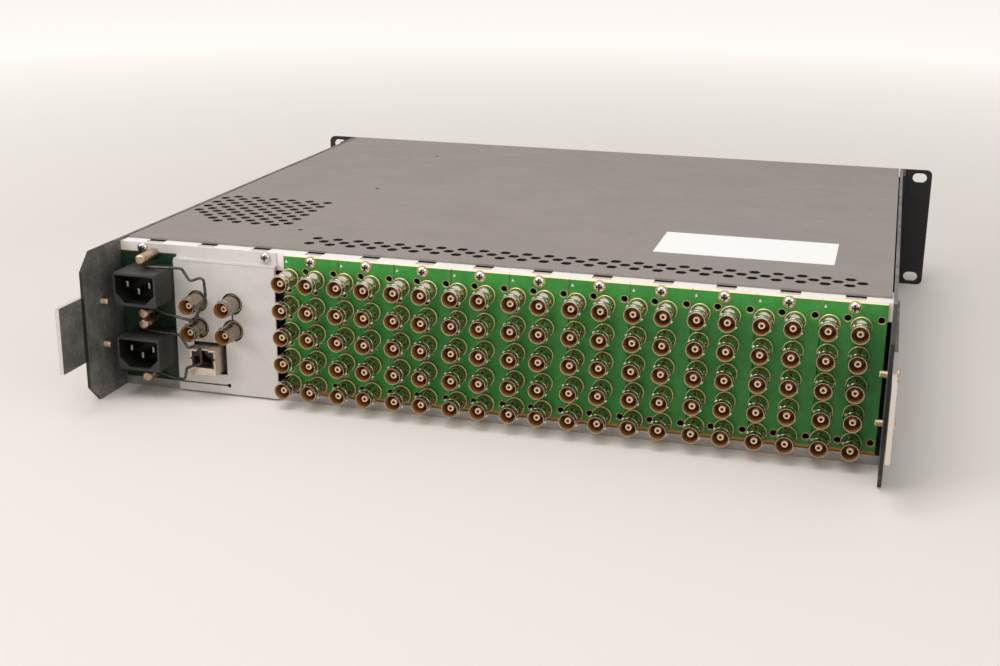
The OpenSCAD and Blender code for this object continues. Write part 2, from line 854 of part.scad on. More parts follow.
// A wire along points in the X and Z plane, mitred at every corner
function unit(v) = v / norm(v);
module flat_wire(points, r, sides) {
    last = len(points) - 1;
    ways = [for (i = [0:last - 1]) unit(points[i + 1] - points[i])];
    mitres = [for (i = [0:last])
        let (u = ways[max(i - 1, 0)], v = ways[min(i, last - 1)], m = unit(u + v))
        [-m[1], m[0]] / (m * u)];
    rings = [for (i = [0:last], k = [0:sides - 1])
        let (turn = (k + 0.5) * 360 / sides, p = points[i] + r * cos(turn) * mitres[i])
        [p[0], r * sin(turn), p[1]]];
    polyhedron(rings, concat(
        [[for (k = [0:sides - 1]) k]],
        [for (i = [0:last - 1], k = [0:sides - 1])
            let (n = (k + 1) % sides, a = i * sides, b = a + sides) [a + k, b + k, b + n, a + n]],
        [[for (k = [sides - 1:-1:0]) last * sides + k]]));
}

// A wire bail that swings over a plug to hold it, turned from the boards by an angle
module wire_bail(z, turn, run_shares, rise_shares) {
    places = concat(
        [[0, post_off + bail_tip], [0, bail_meet], [bail_hold, bail_meet]],
        [for (i = [0:len(run_shares) - 1])
            [run_shares[i] * bail_reach, rise_shares[i] * bail_rise]],
        [[bail_hold, -bail_meet], [0, -bail_meet], [0, -post_off - bail_tip]]);
    color("dimgray") translate([inlet_x, bail_y, z]) rotate([0, 0, -turn])
        flat_wire([for (p = places) [-p[0], p[1]]], wire_d / 2, wire_sides);
}

// Blocks on the inlet board that the power supplies plug into
module supply_sockets() {
    color("ivory") for (z = [supply_low, supply_high])
        slab([inlet_x - supply_socket_w / 2, guide_front + supply_l + fit,
              z + supply_h / 2 - supply_socket_h / 2],
             [inlet_x + supply_socket_w / 2, board_back,
              z + supply_h / 2 + supply_socket_h / 2]);
}

// Midplane board and the card-edge sockets on its front
module midplane() {
    color("green") slab([-x_in + front_flange / 2, mid_front, card_low],
                        [divider_x, mid_back, cover_low - rail_drop - fit]);
}
function slot_x(i) = i < board_count ? board_x(i) + card_off : control_card_x;
module card_sockets() {
    color("ivory") for (i = [0:board_count]) difference() {
        slab([slot_x(i) - socket_w / 2, mid_front - socket_d, socket_z],
             [slot_x(i) + socket_w / 2, mid_front, socket_z + socket_h]);
        slab([slot_x(i) - pcb_t / 2 - fit, mid_front - socket_d - over, socket_z - over],
             [slot_x(i) + pcb_t / 2 + fit, card_rear + fit, socket_z + socket_h + over]);
    }
}

// Grooved guides for the cards, two for each rear board and one for the control card
module guide(x, z, up) {
    turn = up ? 1 : -1;
    translate([x, guide_rear, z]) rotate([90, 0, 0]) linear_extrude(guide_rear - guide_front)
        polygon([[-guide_w / 2, 0], [guide_w / 2, 0], [guide_w / 2, turn * guide_h],
                 [guide_slot / 2, turn * guide_h], [guide_slot / 2, turn * guide_floor],
                 [-guide_slot / 2, turn * guide_floor], [-guide_slot / 2, turn * guide_h],
                 [-guide_w / 2, turn * guide_h]]);
}
module guide_row(z, up) {
    color("khaki") {
        for (i = [0:board_count - 1], s = [-1, 1]) guide(board_x(i) + s * card_off, z, up);
        guide(control_card_x, z, up);
    }
}
module lower_guides() guide_row(sheet_t, true);
module upper_guides() guide_row(cover_low, false);

// A plug-in card: board, components and a grip on its front edge
module card(x, part_h) {
    part_shares = [[0.1, 0.32, 0.2, 0.55, 1], [0.1, 0.3, 0.62, 0.9, 0.5],
                   [0.38, 0.5, 0.15, 0.45, 0.7], [0.42, 0.6, 0.55, 0.85, 0.4],
                   [0.68, 0.9, 0.3, 0.7, 0.9]];
    high = card_high - card_low;
    color("forestgreen")
        slab([x - pcb_t / 2, guide_front, card_low], [x + pcb_t / 2, card_rear, card_high]);
    color("dimgray") for (p = part_shares)
        slab([x - pcb_t / 2 - p[4] * part_h, guide_front + p[0] * card_l, card_low + p[2] * high],
             [x - pcb_t / 2, guide_front + p[1] * card_l, card_low + p[3] * high]);
    color("royalblue")
        slab([x - pcb_t / 2 - grip_w, guide_front - grip_d, grip_z],
             [x - pcb_t / 2, guide_front + grip_d, grip_z + grip_h]);
}

// A power supply: sheet case with air slots at both ends and a pull tab on its front
module power_supply(z) {
    low = [supply_x - supply_w / 2, guide_front, z];
    high = [supply_x + supply_w / 2, guide_front + supply_l, z + supply_h];
    wall = [supply_case_t, supply_case_t, supply_case_t];
    mid = z + supply_h / 2;
    slot_h = supply_slot_share * supply_h;
    color("silver") difference() {
        slab(low, high);
        slab(low + wall, high - wall);
        for (i = [0:supply_slot_count - 1]) {
            x = supply_x + (i - (supply_slot_count - 1) / 2) * supply_slot_pitch;
            slab([x - supply_slot_w / 2, low[1] - over, mid - slot_h / 2],
                 [x + supply_slot_w / 2, high[1] + over, mid + slot_h / 2]);
        }
    }
    color("black")
        slab([supply_x - handle_w / 2, guide_front - handle_d, z + handle_z - handle_h / 2],
             [supply_x + handle_w / 2, guide_front, z + handle_z + handle_h / 2]);
}

// Front door: a shallow tray with a grille before each fan
function fan_x(i) = (i - (fan_count - 1) / 2) * fan_pitch;
module front_door() {
    half = door_w / 2;
    flange_end = y_front - over;
    color("black") difference() {
        union() {
            upright(door_face + door_t, door_t) difference() {
                translate([-half, door_low]) square([door_w, door_top - door_low]);
                for (i = [0:fan_count - 1], r = [0:grille_rows - 1])
                    translate([fan_x(i) - grille_w / 2,
                               mid_z + (r - (grille_rows - 1) / 2) * grille_pitch - grille_slot_h / 2])
                        square([grille_w, grille_slot_h]);
                for (s = [-1, 1]) translate([s * knob_x, mid_z]) circle(knob_shaft_r + pin_fit);
            }
            for (z = [door_low, door_top - door_t])
                slab([-half, door_face, z], [half, flange_end, z + door_t]);
            for (s = [-1, 1])
                slab([s * half - (s > 0 ? door_t : 0), door_face, door_low],
                     [s * half + (s > 0 ? 0 : door_t), flange_end, door_top]);
        }
        for (s = [-1, 1])
            bar_x(hinge_y, hinge_z, s * half - 2 * door_t, s * half + 2 * door_t,
                  hinge_pin_r + pin_fit);
    }
}

// Pins on which the door turns
module hinge_pins() {
    half = door_w / 2;
    pin_in = half - lug_t;
    pin_out = body_w / 2 - door_side_gap + lug_t;
    color("silver") for (s = [0, 1])
        mirror([s, 0, 0]) bar_x(hinge_y, hinge_z, pin_in, pin_out, hinge_pin_r);
}

// Fans on the inside of the door
module fan_frames() {
    low = door_face + door_t;
    color("dimgray") for (i = [0:fan_count - 1]) difference() {
        union() {
            difference() {
                slab([fan_x(i) - fan_size / 2, low, mid_z - fan_size / 2],
                     [fan_x(i) + fan_size / 2, fan_rear, mid_z + fan_size / 2]);
                bar_y(fan_x(i), mid_z, low - over, fan_rear + over, fan_bore_r);
            }
            bar_y(fan_x(i), mid_z, fan_rear - fan_mount_t, fan_rear, fan_mount_r);
            intersection() {
                for (turn = [0:90:270]) translate([fan_x(i), 0, mid_z]) rotate([0, turn + 45, 0])
                    slab([0, fan_rear - fan_mount_t, -strut_w / 2],
                         [fan_size / 2, fan_rear, strut_w / 2]);
                slab([fan_x(i) - fan_size / 2, low, mid_z - fan_size / 2],
                     [fan_x(i) + fan_size / 2, fan_rear, mid_z + fan_size / 2]);
            }
        }
        for (sx = [-1, 1], sz = [-1, 1])
            bar_y(fan_x(i) + sx * fan_hole_off, mid_z + sz * fan_hole_off,
                  low - over, fan_rear + over, fan_hole_r);
        bar_y(fan_x(i), mid_z, fan_rear - fan_mount_t - over, fan_rear + over, shaft_r + pin_fit);
    }
}
module fan_rotor(i) {
    low = door_face + door_t + hub_front_gap;
    high = fan_rear - fan_mount_t - hub_rear_gap;
    color("black") {
        bar_y(fan_x(i), mid_z, low, high, hub_r);
        bar_y(fan_x(i), mid_z, low, fan_rear, shaft_r);
        for (turn = [0:blade_count - 1]) translate([fan_x(i), (low + high) / 2, mid_z])
            rotate([0, turn * 360 / blade_count, 0]) rotate([blade_angle, 0, 0])
                slab([hub_r - over, -blade_chord / 2, -blade_t / 2],
                     [rotor_r, blade_chord / 2, blade_t / 2]);
    }
}

// Quarter-turn knob, shown unlocked with its tongue upright
module door_knob(s) {
    x = s * knob_x;
    back = y_front + wall_t + knob_gap;
    color("silver") {
        difference() {
            bar_y(x, mid_z, door_face - knob_gap - knob_l, door_face - knob_gap, knob_d / 2);
            for (turn = [0:knob_grooves - 1])
                translate([x, 0, mid_z]) rotate([0, turn * 360 / knob_grooves, 0])
                    bar_y(knob_d / 2, 0, door_face - knob_gap - knob_l - over, door_face, knob_groove_r);
        }
        bar_y(x, mid_z, door_face - knob_gap, back + tongue_t, knob_shaft_r);
        slab([x - tongue_w / 2, back, mid_z - knob_shaft_r],
             [x + tongue_w / 2, back + tongue_t, mid_z + tongue_l]);
    }
}

base_pan();
side_wall(1);  // side_wall_left
side_wall(-1);  // side_wall_right
top_cover();
cover_label();
rear_rail();
supply_bay();
rack_ear(1);  // rack_ear_left
rack_ear(-1);  // rack_ear_right
support_bar(1);  // support_bar_left
support_bar(-1);  // support_bar_right
ear_screws();
bar_screws();
rear_boards();
board_screws();
jack_barrels();
jack_contacts();
rear_connectors();
control_plate();
plate_screws();
control_board();
reference_jacks();
reference_contacts();
network_jack();
inlet_board();
power_inlet(inlet_high);  // power_inlet_upper
power_inlet(inlet_low);  // power_inlet_lower
inlet_pins();
bail_posts();
wire_bail(inlet_high, bail_upper_angle, bail_upper_run_shares, bail_upper_rise_shares);  // wire_bail_upper
wire_bail(inlet_low, bail_lower_angle, bail_lower_run_shares, bail_lower_rise_shares);  // wire_bail_lower
supply_sockets();
midplane();
card_sockets();
lower_guides();
upper_guides();
front_door();
hinge_pins();
fan_frames();
for (i = [1:fan_count])
    fan_rotor(i - 1);
door_knob(1);  // door_knob_left
door_knob(-1);  // door_knob_right
power_supply(supply_high);  // power_supply_upper
power_supply(supply_low);  // power_supply_lower
for (i = [1:board_count])
    card(slot_x(i - 1), card_part_h);
card(control_card_x, control_part_h);  // control_card
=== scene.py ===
"""Looks of a two-unit modular card frame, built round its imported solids. Lengths are in metres."""
import json
import logging
import math
from dataclasses import dataclass
from enum import Enum
from typing import Callable, Iterable, Optional, Sequence

import bmesh
import bpy
from mathutils import Matrix, Vector


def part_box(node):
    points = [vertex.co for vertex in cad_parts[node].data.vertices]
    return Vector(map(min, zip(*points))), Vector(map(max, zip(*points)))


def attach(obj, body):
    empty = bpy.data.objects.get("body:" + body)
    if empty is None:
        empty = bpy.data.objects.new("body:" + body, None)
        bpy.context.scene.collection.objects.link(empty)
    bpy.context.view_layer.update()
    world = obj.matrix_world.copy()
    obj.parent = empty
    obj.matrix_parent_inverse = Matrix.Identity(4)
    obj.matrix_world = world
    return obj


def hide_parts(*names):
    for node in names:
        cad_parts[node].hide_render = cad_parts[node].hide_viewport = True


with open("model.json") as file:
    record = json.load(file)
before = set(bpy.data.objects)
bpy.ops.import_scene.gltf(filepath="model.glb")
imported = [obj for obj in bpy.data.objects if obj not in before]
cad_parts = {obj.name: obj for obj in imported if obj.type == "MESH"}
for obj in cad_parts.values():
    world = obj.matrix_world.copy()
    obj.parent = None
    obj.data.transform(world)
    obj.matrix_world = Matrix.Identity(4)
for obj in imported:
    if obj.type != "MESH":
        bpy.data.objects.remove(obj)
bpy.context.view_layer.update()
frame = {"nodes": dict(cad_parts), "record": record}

log = logging.getLogger("card_frame")
MM = 0.001
BOARD_COUNT = 10
BOARD_PITCH = 33.08 * MM
JACK_PAIR = 15.76 * MM
JACK_ROW = 15.66 * MM
REFERENCE_PAIR = 21.7 * MM
REFERENCE_ROW = 15.9 * MM
REFERENCE_BACK = 3.4 * MM
FAN_COUNT = 4
CARD_COUNT = 10
CARD_PARTS = 14 * MM
CONTROL_PARTS = 5 * MM
# A face stands across a direction where its normal's part along that direction is under this.
LEAN = 0.5
Colour = tuple[float, float, float]
Point = tuple[float, float, float]
Flat = tuple[float, float]


def srgb(red: int, green: int, blue: int) -> Colour:
    """Turns a colour as it is seen, 0 to 255 a channel, into the linear one that shaders use.

    Args:
        red: the red channel.
        green: the green channel.
        blue: the blue channel.

    Returns:
        The linear colour.
    """
    return tuple(((c / 255 + 0.055) / 1.055) ** 2.4 for c in (red, green, blue))


class Axis(Enum):
    """The way that a turned piece points, in degrees from the rear."""

    REAR = 0
    LEFT = -90
    RIGHT = 90

    def matrix(self) -> Matrix:
        """Turns a piece drawn along +Y to this way."""
        return Matrix.Rotation(math.radians(self.value), 4, "Z")


class Way(Enum):
    """A direction of the frame, under the name that shader nodes give it."""

    ACROSS = "X"
    DEEP = "Y"
    UP = "Z"


class Graph:
    """Adds nodes to one tree and joins them."""

    def __init__(self, tree: bpy.types.NodeTree) -> None:
        """Keeps the tree that is filled in."""
        self.tree = tree

    def add(self, kind: str, **settings: object) -> bpy.types.Node:
        """Adds one node.

        Args:
            kind: the node's type name.
            settings: values of the node's own fields.

        Returns:
            The node.
        """
        node = self.tree.nodes.new(kind)
        for name, value in settings.items():
            setattr(node, name, value)
        return node

    def feed(self, socket: bpy.types.NodeSocket, value: object) -> None:
        """Joins a socket to another one, or sets its value.

        Args:
            socket: the input.
            value: the other socket, or the value.
        """
        if isinstance(value, bpy.types.NodeSocket):
            self.tree.links.new(value, socket)
        else:
            socket.default_value = value

    def call(self, kind: str, inputs: dict, output: object = 0,
             **settings: object) -> bpy.types.NodeSocket:
        """Adds a node and feeds its inputs.

        Args:
            kind: the node's type name.
            inputs: what goes into each input, by name or number.
            output: the output to give back, by name or number.
            settings: values of the node's own fields.

        Returns:
            The output socket.
        """
        node = self.add(kind, **settings)
        for name, value in inputs.items():
            self.feed(node.inputs[name], value)
        return node.outputs[output]

    def math(self, operation: str, *values: object, clamp: bool = False) -> bpy.types.NodeSocket:
        """Adds a Math node on one to three values."""
        return self.call("ShaderNodeMath", dict(enumerate(values)), operation=operation,
                         use_clamp=clamp)

    def vector(self, operation: str, *values: object) -> bpy.types.NodeSocket:
        """Adds a Vector Math node that gives a vector."""
        return self.call("ShaderNodeVectorMath", dict(enumerate(values)), operation=operation)

    def remap(self, value: object, low: object, high: object) -> bpy.types.NodeSocket:
        """Turns the stretch from low to high into 0 to 1, held at its ends."""
        ends = {"Value": value, "From Min": low, "From Max": high}
        return self.call("ShaderNodeMapRange", ends, clamp=True)

    def mix(self, share: object, first: object, second: object) -> bpy.types.NodeSocket:
        """Mixes two colours by a share of the second.

        Args:
            share: the second colour's share.
            first: the first colour.
            second: the second colour.

        Returns:
            The mixed colour.
        """
        node = self.add("ShaderNodeMix", data_type="RGBA")
        ends = {s.identifier: s for s in node.inputs}
        self.feed(ends["Factor_Float"], share)
        for key, value in (("A_Color", first), ("B_Color", second)):
            self.feed(ends[key], (*value, 1) if isinstance(value, tuple) else value)
        return next(s for s in node.outputs if s.identifier == "Result_Color")

    def noise(self, place: object, scale: object, detail: float = 2.0) -> bpy.types.NodeSocket:
        """Adds a noise texture and gives its value."""
        inputs = {"Vector": place, "Scale": scale, "Detail": detail}
        return self.call("ShaderNodeTexNoise", inputs, "Fac")

    def times(self, *values: object) -> bpy.types.NodeSocket:
        """Multiplies two or more values, or joins as many masks.

        Args:
            values: sockets or numbers.

        Returns:
            Their product.
        """
        result = values[0]
        for value in values[1:]:
            result = self.math("MULTIPLY", result, value)
        return result

    def scaled(self, vector: object, size: object) -> bpy.types.NodeSocket:
        """Makes a vector longer or shorter by a number."""
        return self.call("ShaderNodeVectorMath", {0: vector, "Scale": size}, operation="SCALE")

    def coordinates(self, kind: str) -> bpy.types.NodeSocket:
        """Gives one kind of the surface's coordinates."""
        return self.add("ShaderNodeTexCoord").outputs[kind]

    def part(self, vector: object, way: Way) -> bpy.types.NodeSocket:
        """Gives a vector's part along one direction."""
        return self.call("ShaderNodeSeparateXYZ", {0: vector}, way.value)

    def facing(self, way: Way) -> bpy.types.NodeSocket:
        """Gives how far the surface looks along one direction."""
        return self.part(self.coordinates("Normal"), way)

    def size(self, value: object) -> bpy.types.NodeSocket:
        """Gives a value without its sign."""
        return self.math("ABSOLUTE", value)

    def above(self, value: object, limit: float) -> bpy.types.NodeSocket:
        """Masks where a value is above a limit."""
        return self.math("GREATER_THAN", value, limit)

    def below(self, value: object, limit: float) -> bpy.types.NodeSocket:
        """Masks where a value is below a limit."""
        return self.math("LESS_THAN", value, limit)

    def group(self, tree: bpy.types.NodeTree, **inputs: object) -> bpy.types.NodeSocket:
        """Places one shared group and gives its mask."""
        return self.call("ShaderNodeGroup", inputs, "Mask", node_tree=tree)


class SharedEffects:
    """Shader node groups that several finishes use, each built once."""

    fine_scale: float = 5.3
    wide_share: float = 0.65
    fine_share: float = 0.35
    speck_edge: float = 0.12
    line_low: float = 0.3
    line_high: float = 0.7
    bend_scale: float = 0.7
    scratch_w: float = 0.004
    area_scale: float = 1.9
    area_edge: float = 0.08

    def __init__(self) -> None:
        """Builds the groups."""
        self.mottle = self._group("mottle", {"Scale": 100.0, "Low": 0.4, "High": 0.6}, self._mottle)
        self.speckle = self._group("speckle", {"Scale": 2000.0, "Cover": 0.5}, self._speckle)
        self.hairline = self._group("hairline", {"Scale": 300.0, "Stretch": 30.0}, self._hairline)
        self.scuffs = self._group("scuffs", {"Scale": 40.0, "Amount": 0.1}, self._scuffs)

    @staticmethod
    def _group(name: str, sizes: dict, fill: Callable) -> bpy.types.NodeTree:
        """Makes one group with a place, named sizes and a mask.

        Args:
            name: the group's name.
            sizes: the named inputs and their usual values.
            fill: the function that joins the inputs to the mask.

        Returns:
            The group's tree.
        """
        tree = bpy.data.node_groups.new(name, "ShaderNodeTree")
        tree.interface.new_socket("Place", in_out="INPUT", socket_type="NodeSocketVector")
        for key, usual in sizes.items():
            socket = tree.interface.new_socket(key, in_out="INPUT", socket_type="NodeSocketFloat")
            socket.default_value = usual
        tree.interface.new_socket("Mask", in_out="OUTPUT", socket_type="NodeSocketFloat")
        graph = Graph(tree)
        start = graph.add("NodeGroupInput")
        end = graph.add("NodeGroupOutput")
        graph.feed(end.inputs["Mask"], fill(graph, start.outputs))
        return tree

    def _mottle(self, graph: Graph, sockets: object) -> bpy.types.NodeSocket:
        """Soft clouds at two sizes.

        Args:
            graph: the group's graph.
            sockets: the group's inputs.

        Returns:
            The mask.
        """
        wide = graph.noise(sockets["Place"], sockets["Scale"], 4.0)
        fine = graph.noise(sockets["Place"], graph.times(sockets["Scale"], self.fine_scale), 3.0)
        both = graph.math("ADD", graph.times(wide, self.wide_share),
                          graph.times(fine, self.fine_share))
        return graph.remap(both, sockets["Low"], sockets["High"])

    def _speckle(self, graph: Graph, sockets: object) -> bpy.types.NodeSocket:
        """Small specks that cover a share of the surface.

        Args:
            graph: the group's graph.
            sockets: the group's inputs.

        Returns:
            The mask.
        """
        dots = graph.noise(sockets["Place"], sockets["Scale"], 1.0)
        edge = graph.math("SUBTRACT", 1.0, sockets["Cover"])
        return graph.remap(dots, edge, graph.math("ADD", edge, self.speck_edge))

    def _hairline(self, graph: Graph, sockets: object) -> bpy.types.NodeSocket:
        """Fine lines along X, as rolled or brushed sheet has.

        Args:
            graph: the group's graph.
            sockets: the group's inputs.

        Returns:
            The mask.
        """
        squeeze = graph.call("ShaderNodeCombineXYZ",
                             {"X": 1.0, "Y": sockets["Stretch"], "Z": sockets["Stretch"]})
        place = graph.vector("MULTIPLY", sockets["Place"], squeeze)
        return graph.remap(graph.noise(place, sockets["Scale"], 3.0), self.line_low, self.line_high)

    def _scuffs(self, graph: Graph, sockets: object) -> bpy.types.NodeSocket:
        """A few thin bent scratches.

        Args:
            graph: the group's graph.
            sockets: the group's inputs.

        Returns:
            The mask.
        """
        place, scale = sockets["Place"], sockets["Scale"]
        bend = graph.noise(place, graph.times(scale, self.bend_scale), 2.0)
        lines = graph.noise(graph.vector("ADD", place, bend), scale, 1.0)
        far = graph.size(graph.math("SUBTRACT", lines, 0.5))
        thin = graph.remap(far, self.scratch_w, 0.0)
        where = graph.noise(place, graph.times(scale, self.area_scale), 1.0)
        edge = graph.math("SUBTRACT", 1.0, sockets["Amount"])
        return graph.times(thin, graph.remap(where, edge, graph.math("ADD", edge, self.area_edge)))


@dataclass(frozen=True)
class Finish:
    """One surface of the object: its colours, gloss and fine structure."""

    slot: str
    colour: Colour
    shade: Colour
    roughness: float = 0.5
    metallic: float = 0.0
    mottle_scale: float = 120.0
    mottle_share: float = 0.5
    speck: Optional[Colour] = None
    speck_scale: float = 1400.0
    speck_cover: float = 0.42
    speck_share: float = 0.5
    hairline_share: float = 0.0
    scuff: Optional[Colour] = None
    scuff_amount: float = 0.42
    gloss_spread: float = 0.08
    bump: float = 0.02 * MM

    def colours(self, graph: Graph, effects: SharedEffects, place: bpy.types.NodeSocket) -> tuple:
        """Joins the colour and the height of the surface.

        Args:
            graph: the material's graph.
            effects: the shared groups.
            place: the object's coordinates.

        Returns:
            The colour, the mottle's mask and the height.
        """
        mask = graph.group(effects.mottle, Place=place, Scale=self.mottle_scale)
        colour = graph.mix(graph.times(mask, self.mottle_share), self.colour, self.shade)
        height = mask
        if self.hairline_share:
            lines = graph.group(effects.hairline, Place=place)
            colour = graph.mix(graph.times(lines, self.hairline_share), colour, self.shade)
            height = lines
        if self.speck:
            dots = graph.group(effects.speckle, Place=place, Scale=self.speck_scale,
                               Cover=self.speck_cover)
            colour = graph.mix(graph.times(dots, self.speck_share), colour, self.speck)
            height = dots
        if self.scuff:
            marks = graph.group(effects.scuffs, Place=place, Amount=self.scuff_amount)
            colour = graph.mix(marks, colour, self.scuff)
        return colour, mask, height

    def build(self, effects: SharedEffects) -> bpy.types.Material:
        """Makes the material.

        Args:
            effects: the shared groups.

        Returns:
            The material, named after its slot.
        """
        material = bpy.data.materials.new(self.slot)
        material.use_nodes = True
        graph = Graph(material.node_tree)
        shader = material.node_tree.nodes["Principled BSDF"]
        place = graph.coordinates("Object")
        colour, mask, height = self.colours(graph, effects, place)
        graph.feed(shader.inputs["Base Color"], colour)
        spread = graph.times(mask, self.gloss_spread)
        roughness = graph.math("ADD", spread, self.roughness, clamp=True)
        graph.feed(shader.inputs["Roughness"], roughness)
        shader.inputs["Metallic"].default_value = self.metallic
        if self.bump:
            bump = graph.call("ShaderNodeBump", {"Height": height, "Distance": self.bump}, "Normal")
            graph.feed(shader.inputs["Normal"], bump)
        return material


@dataclass(frozen=True)
class BoardFinish(Finish):
    """Circuit board: solder mask with faint tracks, bare laminate on its cut edges, paler on upward
    faces as painted highlight and browner on the others as painted shade.
    """

    # Laminate edges: paler on upward faces, a painted highlight, and browner on the others, painted
    # shade.
    edge: Colour = srgb(246, 228, 180)
    side_edge_shade: Colour = srgb(186, 128, 62)
    plane: Way = Way.DEEP
    track: Colour = srgb(30, 96, 52)
    track_scale: float = 90.0
    track_edge: float = 0.035
    track_core: float = 0.02
    track_share: float = 0.22
    strip: Optional[Colour] = None
    strip_low: float = 0.0
    strip_high: float = 0.0

    def colours(self, graph: Graph, effects: SharedEffects, place: bpy.types.NodeSocket) -> tuple:
        """Adds the tracks, the bare laminate edges with their painted highlight and painted shade,
        and the strip to the plain mask.

        Args:
            graph: the material's graph.
            effects: the shared groups.
            place: the object's coordinates.

        Returns:
            The colour, the mottle's mask and the height.
        """
        colour, mask, height = super().colours(graph, effects, place)
        cells = graph.call("ShaderNodeTexVoronoi", {"Vector": place, "Scale": self.track_scale},
                           "Distance", feature="DISTANCE_TO_EDGE", distance="EUCLIDEAN")
        lines = graph.remap(cells, self.track_edge, self.track_core)
        colour = graph.mix(graph.times(lines, self.track_share), colour, self.track)
        if self.strip:
            up = graph.part(place, Way.UP)
            inside = graph.times(graph.above(up, self.strip_low), graph.below(up, self.strip_high))
            colour = graph.mix(inside, colour, self.strip)
        cut = graph.below(graph.size(graph.facing(self.plane)), LEAN)
        # Upward cut faces get the paler painted highlight, the rest the browner painted shade.
        side = graph.mix(graph.above(graph.facing(Way.UP), LEAN), self.side_edge_shade, self.edge)
        return graph.mix(cut, colour, side), mask, height


@dataclass(frozen=True)
class RailFinish(Finish):
    """Bright plated rail with painted shade on its lowered tabs and darker painted shade on its slot
    walls.
    """

    # Painted shade on the lowered tabs.
    tab_shade: Colour = srgb(206, 196, 184)
    # Near black painted shade on the walls of the slots.
    slot_wall_shade: Colour = srgb(38, 34, 31)
    slot_end: float = 182.7 * MM
    tab_low: float = 85.9 * MM
    tab_high: float = 86.6 * MM

    def colours(self, graph: Graph, effects: SharedEffects, place: bpy.types.NodeSocket) -> tuple:
        """Adds painted shade on the lowered tabs and near black painted shade on the slot walls to
        the plain plating.

        Args:
            graph: the material's graph.
            effects: the shared groups.
            place: the object's coordinates.

        Returns:
            The colour, the mottle's mask and the height.
        """
        colour, mask, height = super().colours(graph, effects, place)
        up, facing = graph.part(place, Way.UP), graph.facing(Way.UP)
        # The lowered tabs' upward faces get the painted shade.
        tab_shade = graph.times(graph.above(up, self.tab_low), graph.below(up, self.tab_high),
                          graph.above(facing, LEAN))
        colour = graph.mix(tab_shade, colour, self.tab_shade)
        # The slot walls get the near black painted shade.
        wall = graph.times(graph.below(graph.size(facing), LEAN),
                           graph.below(graph.part(place, Way.DEEP), self.slot_end))
        return graph.mix(wall, colour, self.slot_wall_shade), mask, height


@dataclass(frozen=True)
class SheetFinish(Finish):
    """Zinc sheet: painted shade on the walls' rear cut edges, painted highlight on those of the
    support bars.
    """

    # Painted shade on the walls' cut edges, painted highlight on the bars' cut edges.
    wall_edge_shade: Colour = srgb(40, 38, 36)
    bar_edge_highlight: Colour = srgb(214, 206, 196)
    split: float = 220.05 * MM
    rear: float = 195 * MM

    def colours(self, graph: Graph, effects: SharedEffects, place: bpy.types.NodeSocket) -> tuple:
        """Adds painted shade and painted highlight on the cut edges of the part that shows behind
        the frame.

        Args:
            graph: the material's graph.
            effects: the shared groups.
            place: the object's coordinates.

        Returns:
            The colour, the mottle's mask and the height.
        """
        colour, mask, height = super().colours(graph, effects, place)
        cut = graph.times(graph.below(graph.size(graph.facing(Way.ACROSS)), LEAN),
                          graph.above(graph.part(place, Way.DEEP), self.rear))
        bar = graph.above(graph.size(graph.part(place, Way.ACROSS)), self.split)
        # Dark painted shade on the walls' edges, pale painted highlight on the bars' edges.
        edge = graph.mix(bar, self.wall_edge_shade, self.bar_edge_highlight)
        return graph.mix(cut, colour, edge), mask, height


@dataclass(frozen=True)
class CoverFinish(Finish):
    """Painted cover with near black painted shade on the walls of its holes."""

    # Painted shade on the walls of the holes.
    hole_wall_shade: Colour = srgb(34, 31, 29)
    low: float = 86.8 * MM
    half_w: float = 216.9 * MM
    rear: float = 180.7 * MM
    front: float = -192.3 * MM

    def colours(self, graph: Graph, effects: SharedEffects, place: bpy.types.NodeSocket) -> tuple:
        """Adds near black painted shade on the hole walls to the paint.

        Args:
            graph: the material's graph.
            effects: the shared groups.
            place: the object's coordinates.

        Returns:
            The colour, the mottle's mask and the height.
        """
        colour, mask, height = super().colours(graph, effects, place)
        deep = graph.part(place, Way.DEEP)
        # Upright faces inside the cover's field of holes get the painted shade.
        wall = graph.times(graph.below(graph.size(graph.facing(Way.UP)), LEAN),
                           graph.above(graph.part(place, Way.UP), self.low),
                           graph.below(graph.size(graph.part(place, Way.ACROSS)), self.half_w),
                           graph.below(deep, self.rear), graph.above(deep, self.front))
        return graph.mix(wall, colour, self.hole_wall_shade), mask, height


